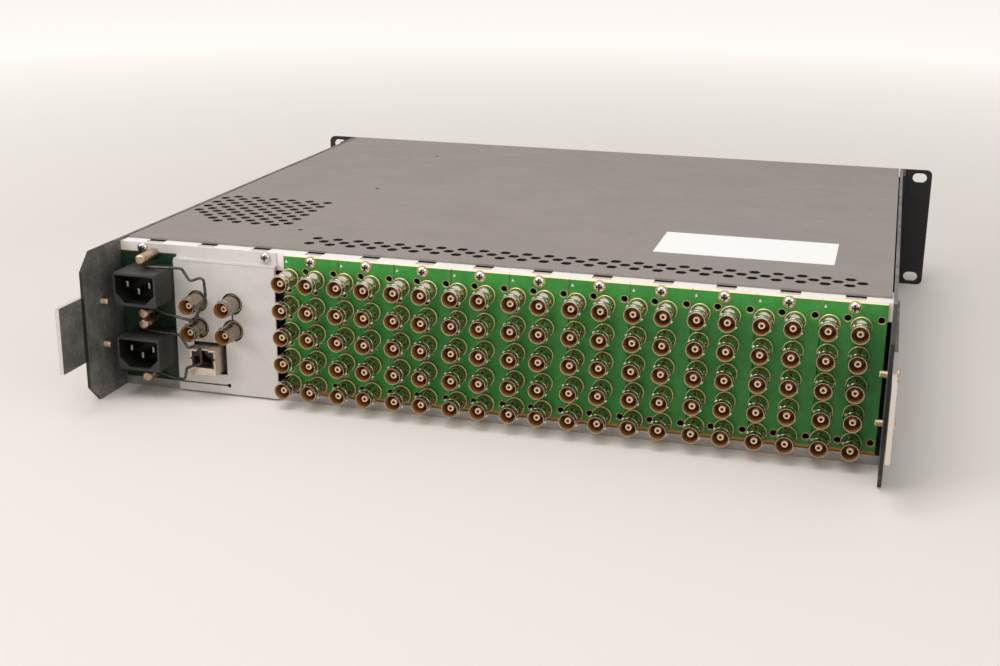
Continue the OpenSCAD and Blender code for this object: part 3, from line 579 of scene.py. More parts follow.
# Slot, colour and shade come first, then roughness, metallic, mottle scale and mottle share.
FINISHES = [
    Finish("zinc", srgb(196, 192, 188), srgb(166, 163, 160), 0.42, 1.0, hairline_share=0.3),
    SheetFinish("dark_zinc", srgb(132, 130, 125), srgb(92, 91, 87), 0.42, 0.35, 85.0, 0.9,
                speck=srgb(160, 157, 150), speck_cover=0.34, speck_share=0.25,
                scuff=srgb(178, 174, 166)),
    RailFinish("bright_rail", srgb(250, 246, 241), srgb(240, 234, 228), 0.4, 0.1, 60.0, 0.5),
    CoverFinish("cover_paint", srgb(143, 134, 128), srgb(135, 126, 121), 0.55, 0.0, 18.0, 0.5,
                speck=srgb(166, 157, 150), speck_scale=1900.0, speck_cover=0.45, speck_share=0.45,
                scuff=srgb(172, 166, 160), scuff_amount=0.30, bump=0.015 * MM),
    Finish("label", srgb(253, 252, 250), srgb(248, 246, 243), 0.45, 0.0, 30.0, 0.4, bump=0.0),
    Finish("black_paint", srgb(20, 19, 18), srgb(14, 14, 13), 0.46, 0.0, 60.0, 0.5,
           speck=srgb(40, 38, 36), speck_scale=2600.0, speck_share=0.5, bump=0.03 * MM),
    Finish("black_screw", srgb(40, 39, 38), srgb(28, 27, 26), 0.35, 0.9, 300.0, 0.5),
    Finish("brass_screw", srgb(222, 208, 184), srgb(180, 158, 124), 0.28, 0.9, 400.0, 0.7),
    BoardFinish("green_board", srgb(54, 148, 56), srgb(40, 124, 44), 0.36, 0.0, 45.0, 0.6,
                bump=0.01 * MM, strip=srgb(196, 136, 40), strip_low=4.6 * MM, strip_high=6.8 * MM),
    # The dark board's own dark green, deepened with painted shade, as are its edges, for the shade
    # it lies in behind the inlets.
    BoardFinish("dark_board", srgb(17, 56, 35), srgb(12, 42, 26), 0.35, 0.0, 45.0, 0.6,
                bump=0.01 * MM, edge=srgb(120, 104, 66), side_edge_shade=srgb(70, 60, 36)),
    BoardFinish("card_board", srgb(44, 110, 58), srgb(34, 92, 48), 0.35, 0.0, 45.0, 0.6,
                bump=0.01 * MM, plane=Way.ACROSS),
    Finish("bright_screw", srgb(224, 218, 208), srgb(190, 178, 160), 0.16, 1.0, 500.0, 0.6,
           bump=0.0),
    Finish("jack_nickel", srgb(206, 196, 180), srgb(188, 176, 158), 0.1, 1.0, 250.0, 0.5,
           gloss_spread=0.06, bump=0.0),
    Finish("contact_gold", srgb(226, 176, 118), srgb(190, 134, 80), 0.3, 1.0, 500.0, 0.5, bump=0.0),
    Finish("ivory_plastic", srgb(222, 214, 192), srgb(206, 196, 172), 0.5, 0.0, 60.0, 0.5),
    Finish("guide_plastic", srgb(58, 58, 56), srgb(48, 48, 46), 0.5, 0.0, 60.0, 0.5),
    Finish("plate_metal", srgb(214, 210, 206), srgb(204, 199, 194), 0.42, 0.15, 40.0, 0.6,
           speck=srgb(224, 220, 216), speck_scale=1300.0, speck_share=0.3,
           scuff=srgb(190, 184, 176)),
    Finish("tin_shell", srgb(216, 200, 182), srgb(186, 168, 148), 0.3, 0.9, 200.0, 0.6),
    Finish("black_plastic", srgb(46, 45, 43), srgb(34, 33, 32), 0.5, 0.0, 150.0, 0.6,
           speck=srgb(62, 60, 57), speck_scale=2200.0, speck_share=0.4),
    Finish("pin_plate", srgb(158, 146, 128), srgb(128, 114, 96), 0.26, 1.0, 400.0, 0.5, bump=0.0),
    Finish("post_metal", srgb(194, 170, 146), srgb(154, 130, 108), 0.24, 1.0, 300.0, 0.6),
    Finish("wire_steel", srgb(92, 88, 84), srgb(54, 52, 50), 0.34, 0.9, 160.0, 0.8),
    Finish("supply_case", srgb(186, 184, 180), srgb(160, 158, 154), 0.42, 1.0, hairline_share=0.3),
    Finish("knob_metal", srgb(176, 174, 170), srgb(150, 148, 144), 0.3, 1.0, hairline_share=0.4),
]
# Finishes of pieces that look unlike their slot.
EXTRA_FINISHES = [
    # Painted highlight: the jack flanges wear this paler, less metallic finish in place of their
    # nickel.
    Finish("jack_ring", srgb(238, 212, 170), srgb(216, 182, 134), 0.35, 0.5, 500.0, 0.5, bump=0.0),
    Finish("shaded_nickel", srgb(160, 150, 136), srgb(132, 122, 108), 0.18, 1.0, 250.0, 0.5,
           bump=0.0),
    Finish("jack_bore", srgb(178, 130, 74), srgb(152, 106, 54), 0.32, 0.25, 500.0, 0.6, bump=0.0),
    Finish("jack_sleeve", srgb(255, 232, 200), srgb(250, 216, 178), 0.4, 0.0, 500.0, 0.5, bump=0.0),
    Finish("laminate_ring", srgb(206, 172, 110), srgb(180, 146, 88), 0.35, 0.3, 500.0, 0.5,
           bump=0.0),
    Finish("board_mark", srgb(226, 232, 222), srgb(214, 220, 208), 0.6, bump=0.0),
    # Black of the card parts, chips and socket insert, and painted shade in screw recesses, contact
    # bores and inlet cavities.
    Finish("inner_black", srgb(20, 19, 18), srgb(12, 12, 11), 0.5, bump=0.0),
    Finish("grip_blue", srgb(54, 76, 120), srgb(44, 64, 104), 0.45),
]


class Workshop:
    """Makes meshes and hands finished pieces to the frame."""

    sharp_angle: float = math.radians(34)
    bevel_angle: float = math.radians(40)
    bend_steps: int = 5

    def __init__(self) -> None:
        """Builds the materials and the node trees that the pieces share."""
        effects = SharedEffects()
        self.materials = {f.slot: f.build(effects) for f in FINISHES + EXTRA_FINISHES}
        self.grid_tree = self._grid_tree()
        self.wire_tree = self._wire_tree()

    @staticmethod
    def _tree(name: str, sockets: dict) -> tuple[bpy.types.NodeTree, Graph, bpy.types.Node]:
        """Starts a geometry tree with named inputs.

        Args:
            name: the tree's name.
            sockets: each input's name and socket type.

        Returns:
            The tree, its graph and its input node.
        """
        tree = bpy.data.node_groups.new(name, "GeometryNodeTree")
        tree.interface.new_socket("Geometry", in_out="INPUT", socket_type="NodeSocketGeometry")
        for key, kind in sockets.items():
            tree.interface.new_socket(key, in_out="INPUT", socket_type="NodeSocket" + kind)
        tree.interface.new_socket("Geometry", in_out="OUTPUT", socket_type="NodeSocketGeometry")
        graph = Graph(tree)
        return tree, graph, graph.add("NodeGroupInput")

    @staticmethod
    def _close(graph: Graph, geometry: object, material: object) -> None:
        """Ends a tree in Realize Instances and Set Material.

        Args:
            graph: the tree's graph.
            geometry: what the tree has made.
            material: the material of all of it.
        """
        real = graph.call("GeometryNodeRealizeInstances", {"Geometry": geometry})
        dressed = graph.call("GeometryNodeSetMaterial", {"Geometry": real, "Material": material})
        graph.feed(graph.add("NodeGroupOutput").inputs["Geometry"], dressed)

    def _grid_tree(self) -> bpy.types.NodeTree:
        """Repeats an object in groups, pairs and rows, each turned on from the last.

        Returns:
            The tree.
        """
        tree, graph, start = self._tree("repeat_in_grid", {
            "Source": "Object", "Material": "Material", "Groups": "Int", "Pairs": "Int",
            "Rows": "Int", "Start": "Vector", "Group Step": "Vector", "Pair Step": "Vector",
            "Row Step": "Vector", "Turn": "Float"})
        given = start.outputs
        index = graph.add("GeometryNodeInputIndex").outputs[0]
        row = graph.math("MODULO", index, given["Rows"])
        column = graph.math("FLOOR", graph.math("DIVIDE", index, given["Rows"]))
        pair = graph.math("MODULO", column, given["Pairs"])
        group = graph.math("FLOOR", graph.math("DIVIDE", column, given["Pairs"]))
        place = given["Start"]
        for count, step in ((group, "Group Step"), (pair, "Pair Step"), (row, "Row Step")):
            place = graph.vector("ADD", place, graph.scaled(given[step], count))
        total = graph.times(given["Groups"], given["Pairs"], given["Rows"])
        points = graph.call("GeometryNodePoints", {"Count": total, "Position": place})
        turn = graph.call("ShaderNodeCombineXYZ", {"Y": graph.times(index, given["Turn"])})
        source = graph.call("GeometryNodeObjectInfo", {"Object": given["Source"]}, "Geometry")
        copies = graph.call("GeometryNodeInstanceOnPoints",
                            {"Points": points, "Instance": source, "Rotation": turn})
        self._close(graph, copies, given["Material"])
        return tree

    def _wire_tree(self) -> bpy.types.NodeTree:
        """Turns a bent line into round wire with rounded bends.

        Returns:
            The tree.
        """
        tree, graph, start = self._tree("bend_wire", {
            "Material": "Material", "Bend Radius": "Float", "Wire Radius": "Float", "Sides": "Int"})
        given = start.outputs
        bent = graph.call("GeometryNodeFilletCurve", {
            "Curve": given["Geometry"], "Radius": given["Bend Radius"], "Count": self.bend_steps,
            "Limit Radius": True}, mode="POLY")
        ring = graph.call("GeometryNodeCurvePrimitiveCircle",
                          {"Resolution": given["Sides"], "Radius": given["Wire Radius"]}, "Curve")
        wire = graph.call("GeometryNodeCurveToMesh",
                          {"Curve": bent, "Profile Curve": ring, "Fill Caps": True})
        smooth = graph.call("GeometryNodeSetShadeSmooth", {"Geometry": wire})
        self._close(graph, smooth, given["Material"])
        return tree

    def add(self, name: str, data: object) -> bpy.types.Object:
        """Puts an object in the scene at the origin.

        Args:
            name: the object's name.
            data: its mesh or curve.

        Returns:
            The object.
        """
        thing = bpy.data.objects.new(name, data)
        bpy.context.scene.collection.objects.link(thing)
        return thing

    def settle(self, thing: bpy.types.Object) -> bpy.types.Object:
        """Turns an object with modifiers into a plain mesh.

        Args:
            thing: the object.

        Returns:
            A new object of the same name with the result.
        """
        bpy.context.view_layer.update()
        graph = bpy.context.evaluated_depsgraph_get()
        mesh = bpy.data.meshes.new_from_object(thing.evaluated_get(graph), depsgraph=graph)
        name = thing.name
        bpy.data.objects.remove(thing)
        return self.add(name, mesh)

    def run_tree(self, name: str, base: object, tree: bpy.types.NodeTree,
                 inputs: dict) -> bpy.types.Object:
        """Runs a geometry tree and keeps its mesh.

        Args:
            name: the piece's name.
            base: the mesh or curve that goes in.
            tree: the geometry tree.
            inputs: the tree's inputs by name.

        Returns:
            The piece as a plain mesh.
        """
        thing = self.add(name, base)
        modifier = thing.modifiers.new("nodes", "NODES")
        modifier.node_group = tree
        keys = {item.name: item.identifier for item in tree.interface.items_tree
                if item.in_out == "INPUT"}
        for key, value in inputs.items():
            modifier[keys[key]] = value
        return self.settle(thing)

    def wire(self, name: str, points: Sequence[Point], finish: str, bend_r: float, wire_r: float,
             sides: int) -> bpy.types.Object:
        """Bends a round wire along a line of points.

        Args:
            name: the piece's name.
            points: the line's ends and bends.
            finish: the wire's finish.
            bend_r: the radius of the bends.
            wire_r: the radius of the wire.
            sides: how many sides the wire has.

        Returns:
            The piece as a plain mesh.
        """
        line = bpy.data.curves.new(name, "CURVE")
        line.dimensions = "3D"
        spline = line.splines.new("POLY")
        spline.points.add(len(points) - 1)
        for point, place in zip(spline.points, points):
            point.co = (*place, 1)
        return self.run_tree(name, line, self.wire_tree, {
            "Material": self.materials[finish], "Bend Radius": bend_r, "Wire Radius": wire_r,
            "Sides": sides})

    def repeat(self, name: str, source: bpy.types.Object, finish: str, start: Vector,
               groups: int = 1, group_step: Point = (0, 0, 0), pairs: int = 1,
               pair_step: Point = (0, 0, 0), rows: int = 1, row_step: Point = (0, 0, 0),
               turn: float = 0.0) -> bpy.types.Object:
        """Repeats one object in a grid with geometry nodes.

        Args:
            name: the piece's name.
            source: the object that is repeated, which is removed afterwards.
            finish: the finish of every copy.
            start: the place of the first copy.
            groups: how many groups there are.
            group_step: the step from group to group.
            pairs: how many copies a group has side by side.
            pair_step: the step between those.
            rows: how many rows there are.
            row_step: the step from row to row.
            turn: the turn about Y from copy to copy, in radians.

        Returns:
            The piece as a plain mesh.
        """
        piece = self.run_tree(name, bpy.data.meshes.new(name), self.grid_tree, {
            "Source": source, "Material": self.materials[finish], "Groups": groups, "Pairs": pairs,
            "Rows": rows, "Start": tuple(start), "Group Step": group_step, "Pair Step": pair_step,
            "Row Step": row_step, "Turn": turn})
        bpy.data.objects.remove(source)
        return piece

    def turned(self, name: str, profile: Sequence[Flat], sides: int = 24,
               axis: Axis = Axis.REAR) -> bpy.types.Object:
        """Turns an outline about the Y axis into a closed mesh.

        Args:
            name: the object's name.
            profile: distance from the axis and place along it, from one end to the other.
            sides: how many sides the turned form has.
            axis: where the outline's far end points.

        Returns:
            The object.
        """
        shape = bmesh.new()
        rings = []
        turns = [2 * math.pi * k / sides for k in range(sides)]
        for radius, along in profile:
            if radius == 0:
                rings.append([shape.verts.new((0, along, 0))])
                continue
            rings.append([shape.verts.new((radius * math.cos(t), along, radius * math.sin(t)))
                          for t in turns])
        for low, high in zip(rings, rings[1:]):
            for k in range(sides):
                n = (k + 1) % sides
                if len(low) == 1:
                    shape.faces.new((low[0], high[k], high[n]))
                elif len(high) == 1:
                    shape.faces.new((low[k], high[0], low[n]))
                else:
                    shape.faces.new((low[k], high[k], high[n], low[n]))
        bmesh.ops.recalc_face_normals(shape, faces=shape.faces)
        shape.transform(axis.matrix())
        return self.keep(name, shape)

    def keep(self, name: str, shape: bmesh.types.BMesh) -> bpy.types.Object:
        """Makes an object of a finished mesh.

        Args:
            name: the object's name.
            shape: the mesh, which is freed.

        Returns:
            The object.
        """
        mesh = bpy.data.meshes.new(name)
        shape.to_mesh(mesh)
        shape.free()
        return self.add(name, mesh)

    def blocks(self, name: str, boxes: Iterable[tuple[Point, Point]]) -> bpy.types.Object:
        """Makes one mesh of separate boxes, each given by two corners.

        Args:
            name: the object's name.
            boxes: the lower and the upper corner of each box.

        Returns:
            The object.
        """
        shape = bmesh.new()
        for low, high in boxes:
            made = bmesh.ops.create_cube(shape, size=1)["verts"]
            size = Vector(high) - Vector(low)
            middle = (Vector(high) + Vector(low)) / 2
            bmesh.ops.scale(shape, vec=size, verts=made)
            bmesh.ops.translate(shape, vec=middle, verts=made)
        return self.keep(name, shape)

    def prism(self, name: str, outline: Sequence[Flat], low: float,
              high: float) -> bpy.types.Object:
        """Makes a closed prism of an outline in X and Z between two places along Y.

        Args:
            name: the object's name.
            outline: the corners in X and Z.
            low: where it starts along Y.
            high: where it ends along Y.

        Returns:
            The object.
        """
        shape = bmesh.new()
        ends = [[shape.verts.new((x, y, z)) for x, z in outline] for y in (low, high)]
        shape.faces.new(ends[0])
        shape.faces.new(list(reversed(ends[1])))
        count = len(outline)
        for k in range(count):
            n = (k + 1) % count
            shape.faces.new((ends[0][n], ends[0][k], ends[1][k], ends[1][n]))
        bmesh.ops.recalc_face_normals(shape, faces=shape.faces)
        return self.keep(name, shape)

    def shaped(self, thing: bpy.types.Object, cutters: Sequence[bpy.types.Object] = (),
               bevel: float = 0.0, segments: int = 2) -> bpy.types.Object:
        """Cuts an object, rounds its edges and keeps the plain mesh.

        Args:
            thing: the object.
            cutters: the objects that are cut out of it, which are removed.
            bevel: the width of the rounding.
            segments: how many faces the rounding has.

        Returns:
            The finished object.
        """
        for cutter in cutters:
            cut = thing.modifiers.new("cut", "BOOLEAN")
            cut.operation = "DIFFERENCE"
            cut.solver = "EXACT"
            cut.object = cutter
        if bevel:
            round_off = thing.modifiers.new("bevel", "BEVEL")
            round_off.width = bevel
            round_off.segments = segments
            round_off.limit_method = "ANGLE"
            round_off.angle_limit = self.bevel_angle
        done = self.settle(thing)
        for cutter in cutters:
            bpy.data.objects.remove(cutter)
        return done

    def hand_over(self, piece: bpy.types.Object, body: str, slot: str, finish: Optional[str] = None,
                  replaces: Sequence[str] = ()) -> bpy.types.Object:
        """Dresses a finished piece and joins it to the frame.

        Args:
            piece: the piece, in place.
            body: the body that it moves with.
            slot: the record's slot of its finish.
            finish: the material, where it isn't the slot's own.
            replaces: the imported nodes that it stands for.

        Returns:
            The piece.
        """
        piece.data.materials.clear()
        piece.data.materials.append(self.materials[finish or slot])
        piece.data.polygons.foreach_set("material_index", [0] * len(piece.data.polygons))
        piece.data.shade_smooth()
        piece.data.set_sharp_from_angle(angle=self.sharp_angle)
        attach(piece, body)
        if replaces:
            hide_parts(*replaces)
        log.info("%s rides on %s: %d faces", piece.name, body, len(piece.data.polygons))
        return piece

    def dress_nodes(self) -> None:
        """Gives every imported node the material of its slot."""
        slots = {part["node"]: part["material_slot"] for part in frame["record"]["subparts"]}
        for name, node in frame["nodes"].items():
            material = self.materials[slots[name]]
            if not node.data.materials:
                node.data.materials.append(material)
            for holder in node.material_slots:
                holder.material = material
            log.info("%s wears %s", name, material.name)


@dataclass
class CoaxJacks:
    """Rows of bayonet coaxial jacks, each a barrel, bore, sleeve and centre contact."""

    workshop: Workshop
    name: str
    barrels: str
    contacts: str
    groups: int
    pairs: int
    rows: int
    group_pitch: float
    pair_pitch: float
    row_pitch: float
    length: float = 18 * MM
    floor: float = 6 * MM
    barrel_r: float = 4.8 * MM
    bore_r: float = 4.3 * MM
    ring_r: float = 5.5 * MM
    ring_l: float = 3 * MM
    ring_t: float = 0.9 * MM
    ring_bevel: float = 0.2 * MM
    foot_r: float = 5.15 * MM
    foot_l: float = 9.4 * MM
    foot_slope: float = 0.6 * MM
    ridge: float = 0.1 * MM
    ridge_l: float = 0.6 * MM
    ridge_end: float = 0.7 * MM
    lip_bevel: float = 0.15 * MM
    lip_outer: float = 0.4 * MM
    lip_inner: float = 0.35 * MM
    lug_reach: float = 5.55 * MM
    lug_r: float = 1.0 * MM
    lug_l: float = 1.2 * MM
    lug_back: float = 5.5 * MM
    lug_turn: float = math.radians(-40)
    lug_sides: int = 12
    liner_gap: float = 0.01 * MM
    liner_wall: float = 0.12 * MM
    liner_front: float = 0.45 * MM
    liner_base: float = 0.3 * MM
    sleeve_r: float = 1.8 * MM
    sleeve_back: float = 0.1 * MM
    sleeve_bevel: float = 0.3 * MM
    sleeve_rim: float = 0.05 * MM
    sleeve_dish: float = 0.4 * MM
    sleeve_sides: int = 20
    contact_r: float = 1.0 * MM
    contact_l: float = 4 * MM
    contact_back: float = 2.2 * MM
    contact_stand: float = 0.1 * MM
    contact_gap: float = 0.02 * MM
    contact_bevel: float = 0.15 * MM
    contact_base: float = 0.5 * MM
    contact_sides: int = 14
    hole_r: float = 0.78 * MM
    hole_back: float = 0.25 * MM
    hole_gap: float = 0.01 * MM
    hole_t: float = 0.5 * MM
    hole_sides: int = 12
    shell: str = "jack_nickel"

    def ring(self) -> bpy.types.Object:
        """Makes the thin flange round the foot of one barrel.

        Returns:
            The flange.
        """
        r, front, bevel = self.ring_r, self.ring_l, self.ring_bevel
        back = front - self.ring_t
        return self.workshop.turned("ring", [
            (0, back), (r - bevel, back), (r, back + bevel), (r, front - bevel),
            (r - bevel, front), (0, front)])

    def barrel(self) -> bpy.types.Object:
        """Makes one barrel with a low ridge, its front lip and two lugs.

        Returns:
            The barrel.
        """
        r, front = self.barrel_r, self.length
        back = front - self.lug_back + self.lug_r
        outline = [(0, 0), (self.foot_r, 0), (self.foot_r, self.foot_l),
                   (r, self.foot_l + self.foot_slope), (r, back),
                   (r + self.ridge, back + self.ridge), (r + self.ridge, back + self.ridge_l),
                   (r, back + self.ridge_end), (r, front - self.lip_outer),
                   (r - self.lip_bevel, front), (self.bore_r + self.lip_bevel, front),
                   (self.bore_r, front - self.lip_inner), (self.bore_r, self.floor),
                   (0, self.floor)]
        body = self.workshop.turned("barrel", outline)
        shape = bmesh.new()
        shape.from_mesh(body.data)
        upright = Matrix.Rotation(math.pi / 2, 4, "Y")
        turn = Matrix.Rotation(self.lug_turn, 4, "Y")
        for side in (-1, 1):
            middle = side * (self.lug_reach - self.lug_l / 2)
            spot = Matrix.Translation((middle, front - self.lug_back, 0))
            bmesh.ops.create_cone(shape, cap_ends=True, segments=self.lug_sides,
                                  radius1=self.lug_r, radius2=self.lug_r, depth=self.lug_l,
                                  matrix=turn @ spot @ upright)
        shape.to_mesh(body.data)
        shape.free()
        return body

    def liner(self) -> bpy.types.Object:
        """Makes the plated wall and floor of one bore.

        Returns:
            The lining.
        """
        outer, inner = self.bore_r - self.liner_gap, self.bore_r - self.liner_wall
        top, floor = self.length - self.liner_front, self.floor + self.liner_gap
        face = floor + self.liner_base
        outline = [(0, floor), (outer, floor), (outer, top), (inner, top), (inner, face), (0, face)]
        return self.workshop.turned("liner", outline)

    def sleeve(self) -> bpy.types.Object:
        """Makes the pale sleeve round one contact.

        Returns:
            The sleeve.
        """
        low, top = self.floor + self.sleeve_back, self.length - self.contact_back
        outline = [(0, low), (self.sleeve_r, low), (self.sleeve_r, top - self.sleeve_bevel),
                   (self.sleeve_r - self.sleeve_bevel, top),
                   (self.contact_r + self.sleeve_rim, top),
                   (self.contact_r, top - self.sleeve_dish), (0, top - self.sleeve_dish)]
        return self.workshop.turned("sleeve", outline, self.sleeve_sides)

    def contact(self) -> bpy.types.Object:
        """Makes one hollow centre contact.

        Returns:
            The contact.
        """
        top = self.length - self.contact_back + self.contact_stand
        low = top - self.contact_l
        outer, floor = self.contact_r - self.contact_gap, low + self.contact_base
        outline = [(0, low), (outer, low), (outer, top - self.contact_bevel),
                   (self.contact_r - self.contact_bevel, top), (self.hole_r, top),
                   (self.hole_r, floor), (0, floor)]
        return self.workshop.turned("contact", outline, self.contact_sides)

    def hole(self) -> bpy.types.Object:
        """Makes a black disc at the end of one contact's bore, painted shade at the bottom of the
        hole.

        Returns:
            The dark end.
        """
        top = self.length - self.contact_back - self.hole_back
        r, low = self.hole_r - self.hole_gap, top - self.hole_t
        return self.workshop.turned("hole", [(0, low), (r, low), (r, top), (0, top)],
                                    self.hole_sides)

    def build(self) -> None:
        """Repeats the parts of a jack over the boards and hands them over."""
        low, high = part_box(self.barrels)
        start = Vector((high.x - self.lug_reach, low.y, high.z - self.ring_r))
        steps = {"start": start, "groups": self.groups, "group_step": (-self.group_pitch, 0, 0),
                 "pairs": self.pairs, "pair_step": (-self.pair_pitch, 0, 0), "rows": self.rows,
                 "row_step": (0, 0, -self.row_pitch)}
        parts = (
            ("barrels", self.barrel(), "jack_nickel", self.shell, [self.barrels]),
            # The flanges wear the painted highlight finish.
            ("rings", self.ring(), "jack_nickel", "jack_ring", []),
            ("bores", self.liner(), "jack_nickel", "jack_bore", []),
            ("sleeves", self.sleeve(), "contact_gold", "jack_sleeve", []),
            # A black disc deep in each contact is painted shade.
            ("contact_holes", self.hole(), "contact_gold", "inner_black", []),
            ("centre_contacts", self.contact(), "contact_gold", "contact_gold", [self.contacts]))
        for name, source, slot, finish, replaced in parts:
            piece = self.workshop.repeat(f"{self.name}_{name}", source, finish, **steps)
            self.workshop.hand_over(piece, "frame", slot, finish, replaced)


@dataclass
class PhillipsScrew:
    """A pan-head screw with a cross recess."""

    workshop: Workshop
    head_r: float
    head_h: float
    shank_r: float
    shank_l: float
    slot_w: float = 1.05 * MM
    thread_l: float = 0.0
    thread_pitch: float = 0.7 * MM
    thread_flat: float = 0.2 * MM
    thread_fall: float = 0.45 * MM
    thread_depth: float = 0.3 * MM
    tip: float = 0.4 * MM
    seat_share: float = 0.97
    rim_share: float = 0.2
    dome_base: float = 0.35
    dome_rise: float = 0.65
    dome_turns: tuple = (10, 32, 52, 70)
    cut_reach: float = 0.62
    cut_floor: float = 0.08
    cut_top: float = 1.2
    recess_gap: float = 0.03 * MM
    recess_reach: float = 0.6
    recess_low: float = 0.1
    recess_high: float = 0.5

    def build(self, axis: Axis = Axis.REAR) -> bpy.types.Object:
        """Makes one screw with its head's seat at the origin.

        Args:
            axis: where the head points.

        Returns:
            The screw.
        """
        r, h = self.head_r, self.head_h
        dome = [(r * math.cos(a), h * (self.dome_base + self.dome_rise * math.sin(a)))
                for a in map(math.radians, self.dome_turns)]
        start = self.tip - self.shank_l
        thread = []
        for turn in range(int(self.thread_l / self.thread_pitch)):
            along = start + turn * self.thread_pitch
            thread += [(self.shank_r, along), (self.shank_r, along + self.thread_flat),
                       (self.shank_r - self.thread_depth, along + self.thread_fall)]
        outline = [(0, -self.shank_l), (self.shank_r - self.tip, -self.shank_l), *thread,
                   (self.shank_r, start + self.thread_l), (self.shank_r, 0),
                   (r * self.seat_share, 0), (r, h * self.rim_share), *dome, (0, h)]
        screw = self.workshop.turned("screw", outline)
        reach, half = r * self.cut_reach, self.slot_w / 2
        floor, top = h * self.cut_floor, h * self.cut_top
        bars = [((-reach, floor, -half), (reach, top, half)),
                ((-half, floor, -reach), (half, top, reach))]
        cutters = [self.workshop.blocks("cut", [bar]) for bar in bars]
        done = self.workshop.shaped(screw, cutters)
        done.data.transform(axis.matrix())
        return done

    def recess(self, axis: Axis = Axis.REAR) -> bpy.types.Object:
        """Makes a black cross in the bottom of the cross recess, painted shade.

        Args:
            axis: where the head points.

        Returns:
            The floor.
        """
        reach = self.head_r * self.recess_reach
        half = self.slot_w / 2 - self.recess_gap
        low, high = self.head_h * self.recess_low, self.head_h * self.recess_high
        arms = [((-reach, low, -half), (reach, high, half)),
                ((-half, low, half), (half, high, reach)),
                ((-half, low, -reach), (half, high, -half))]
        cross = self.workshop.blocks("recess", arms)
        cross.data.transform(axis.matrix())
        return cross


@dataclass
class Fasteners:
    """Every screw that shows."""

    workshop: Workshop
    head_r: float = 2.85 * MM
    head_h: float = 2.0 * MM
    shank_r: float = 1.42 * MM
    side_head_r: float = 3.6 * MM
    side_head_h: float = 2.2 * MM
    side_shank_r: float = 1.9 * MM
    side_slot_w: float = 1.3 * MM
    ear_thread: float = 1.2 * MM
    bar_thread: float = 4.2 * MM

    def rear_row(self, name: str, node: str, count: int) -> None:
        """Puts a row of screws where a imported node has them.

        Args:
            name: the piece's name.
            node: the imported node.
            count: how many screws it has.
        """
        low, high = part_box(node)
        seat = high.y - self.head_h
        kind = PhillipsScrew(self.workshop, self.head_r, self.head_h, self.shank_r, seat - low.y)
        start = Vector((high.x - self.head_r, seat, (low.z + high.z) / 2))
        step = (high.x - low.x - 2 * self.head_r) / (count - 1)
        steps = {"start": start, "groups": count, "group_step": (-step, 0, 0)}
        piece = self.workshop.repeat(name, kind.build(), "bright_screw", **steps)
        self.workshop.hand_over(piece, "frame", "bright_screw", replaces=[node])
        # Black crosses deep in the recesses are painted shade.
        piece = self.workshop.repeat(f"{name}_recesses", kind.recess(), "inner_black", **steps)
        self.workshop.hand_over(piece, "frame", "bright_screw", "inner_black")

    def side_pairs(self, name: str, node: str, slot: str, thread_l: float) -> None:
        """Puts two screws through each side wall.

        Args:
            name: the piece's name.
            node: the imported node.
            slot: its finish.
            thread_l: the length of thread that is cut.
        """
        low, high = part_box(node)
        inner = min(abs(v.co.x) for v in frame["nodes"][node].data.vertices)
        seat = high.x - self.side_head_h
        kind = PhillipsScrew(self.workshop, self.side_head_r, self.side_head_h, self.side_shank_r,
                             seat - inner, self.side_slot_w, thread_l=thread_l)
        rise = high.z - low.z - 2 * self.side_head_r
        pieces = []
        for axis, side, hand in ((Axis.LEFT, 1, "left"), (Axis.RIGHT, -1, "right")):
            start = Vector((side * seat, (low.y + high.y) / 2, high.z - self.side_head_r))
            pieces.append(self.workshop.repeat(f"{name}_{hand}", kind.build(axis), slot, start,
                                               rows=2, row_step=(0, 0, -rise)))
        for piece in pieces:
            self.workshop.hand_over(piece, "frame", slot, replaces=[node])

    def build(self) -> None:
        """Makes all the screws."""
        self.rear_row("board_screw_row", "board_screws", BOARD_COUNT)
        self.rear_row("plate_screw_pair", "plate_screws", 2)
        self.side_pairs("ear_screw_pair", "ear_screws", "black_screw", self.ear_thread)
        self.side_pairs("bar_screw_pair", "bar_screws", "brass_screw", self.bar_thread)


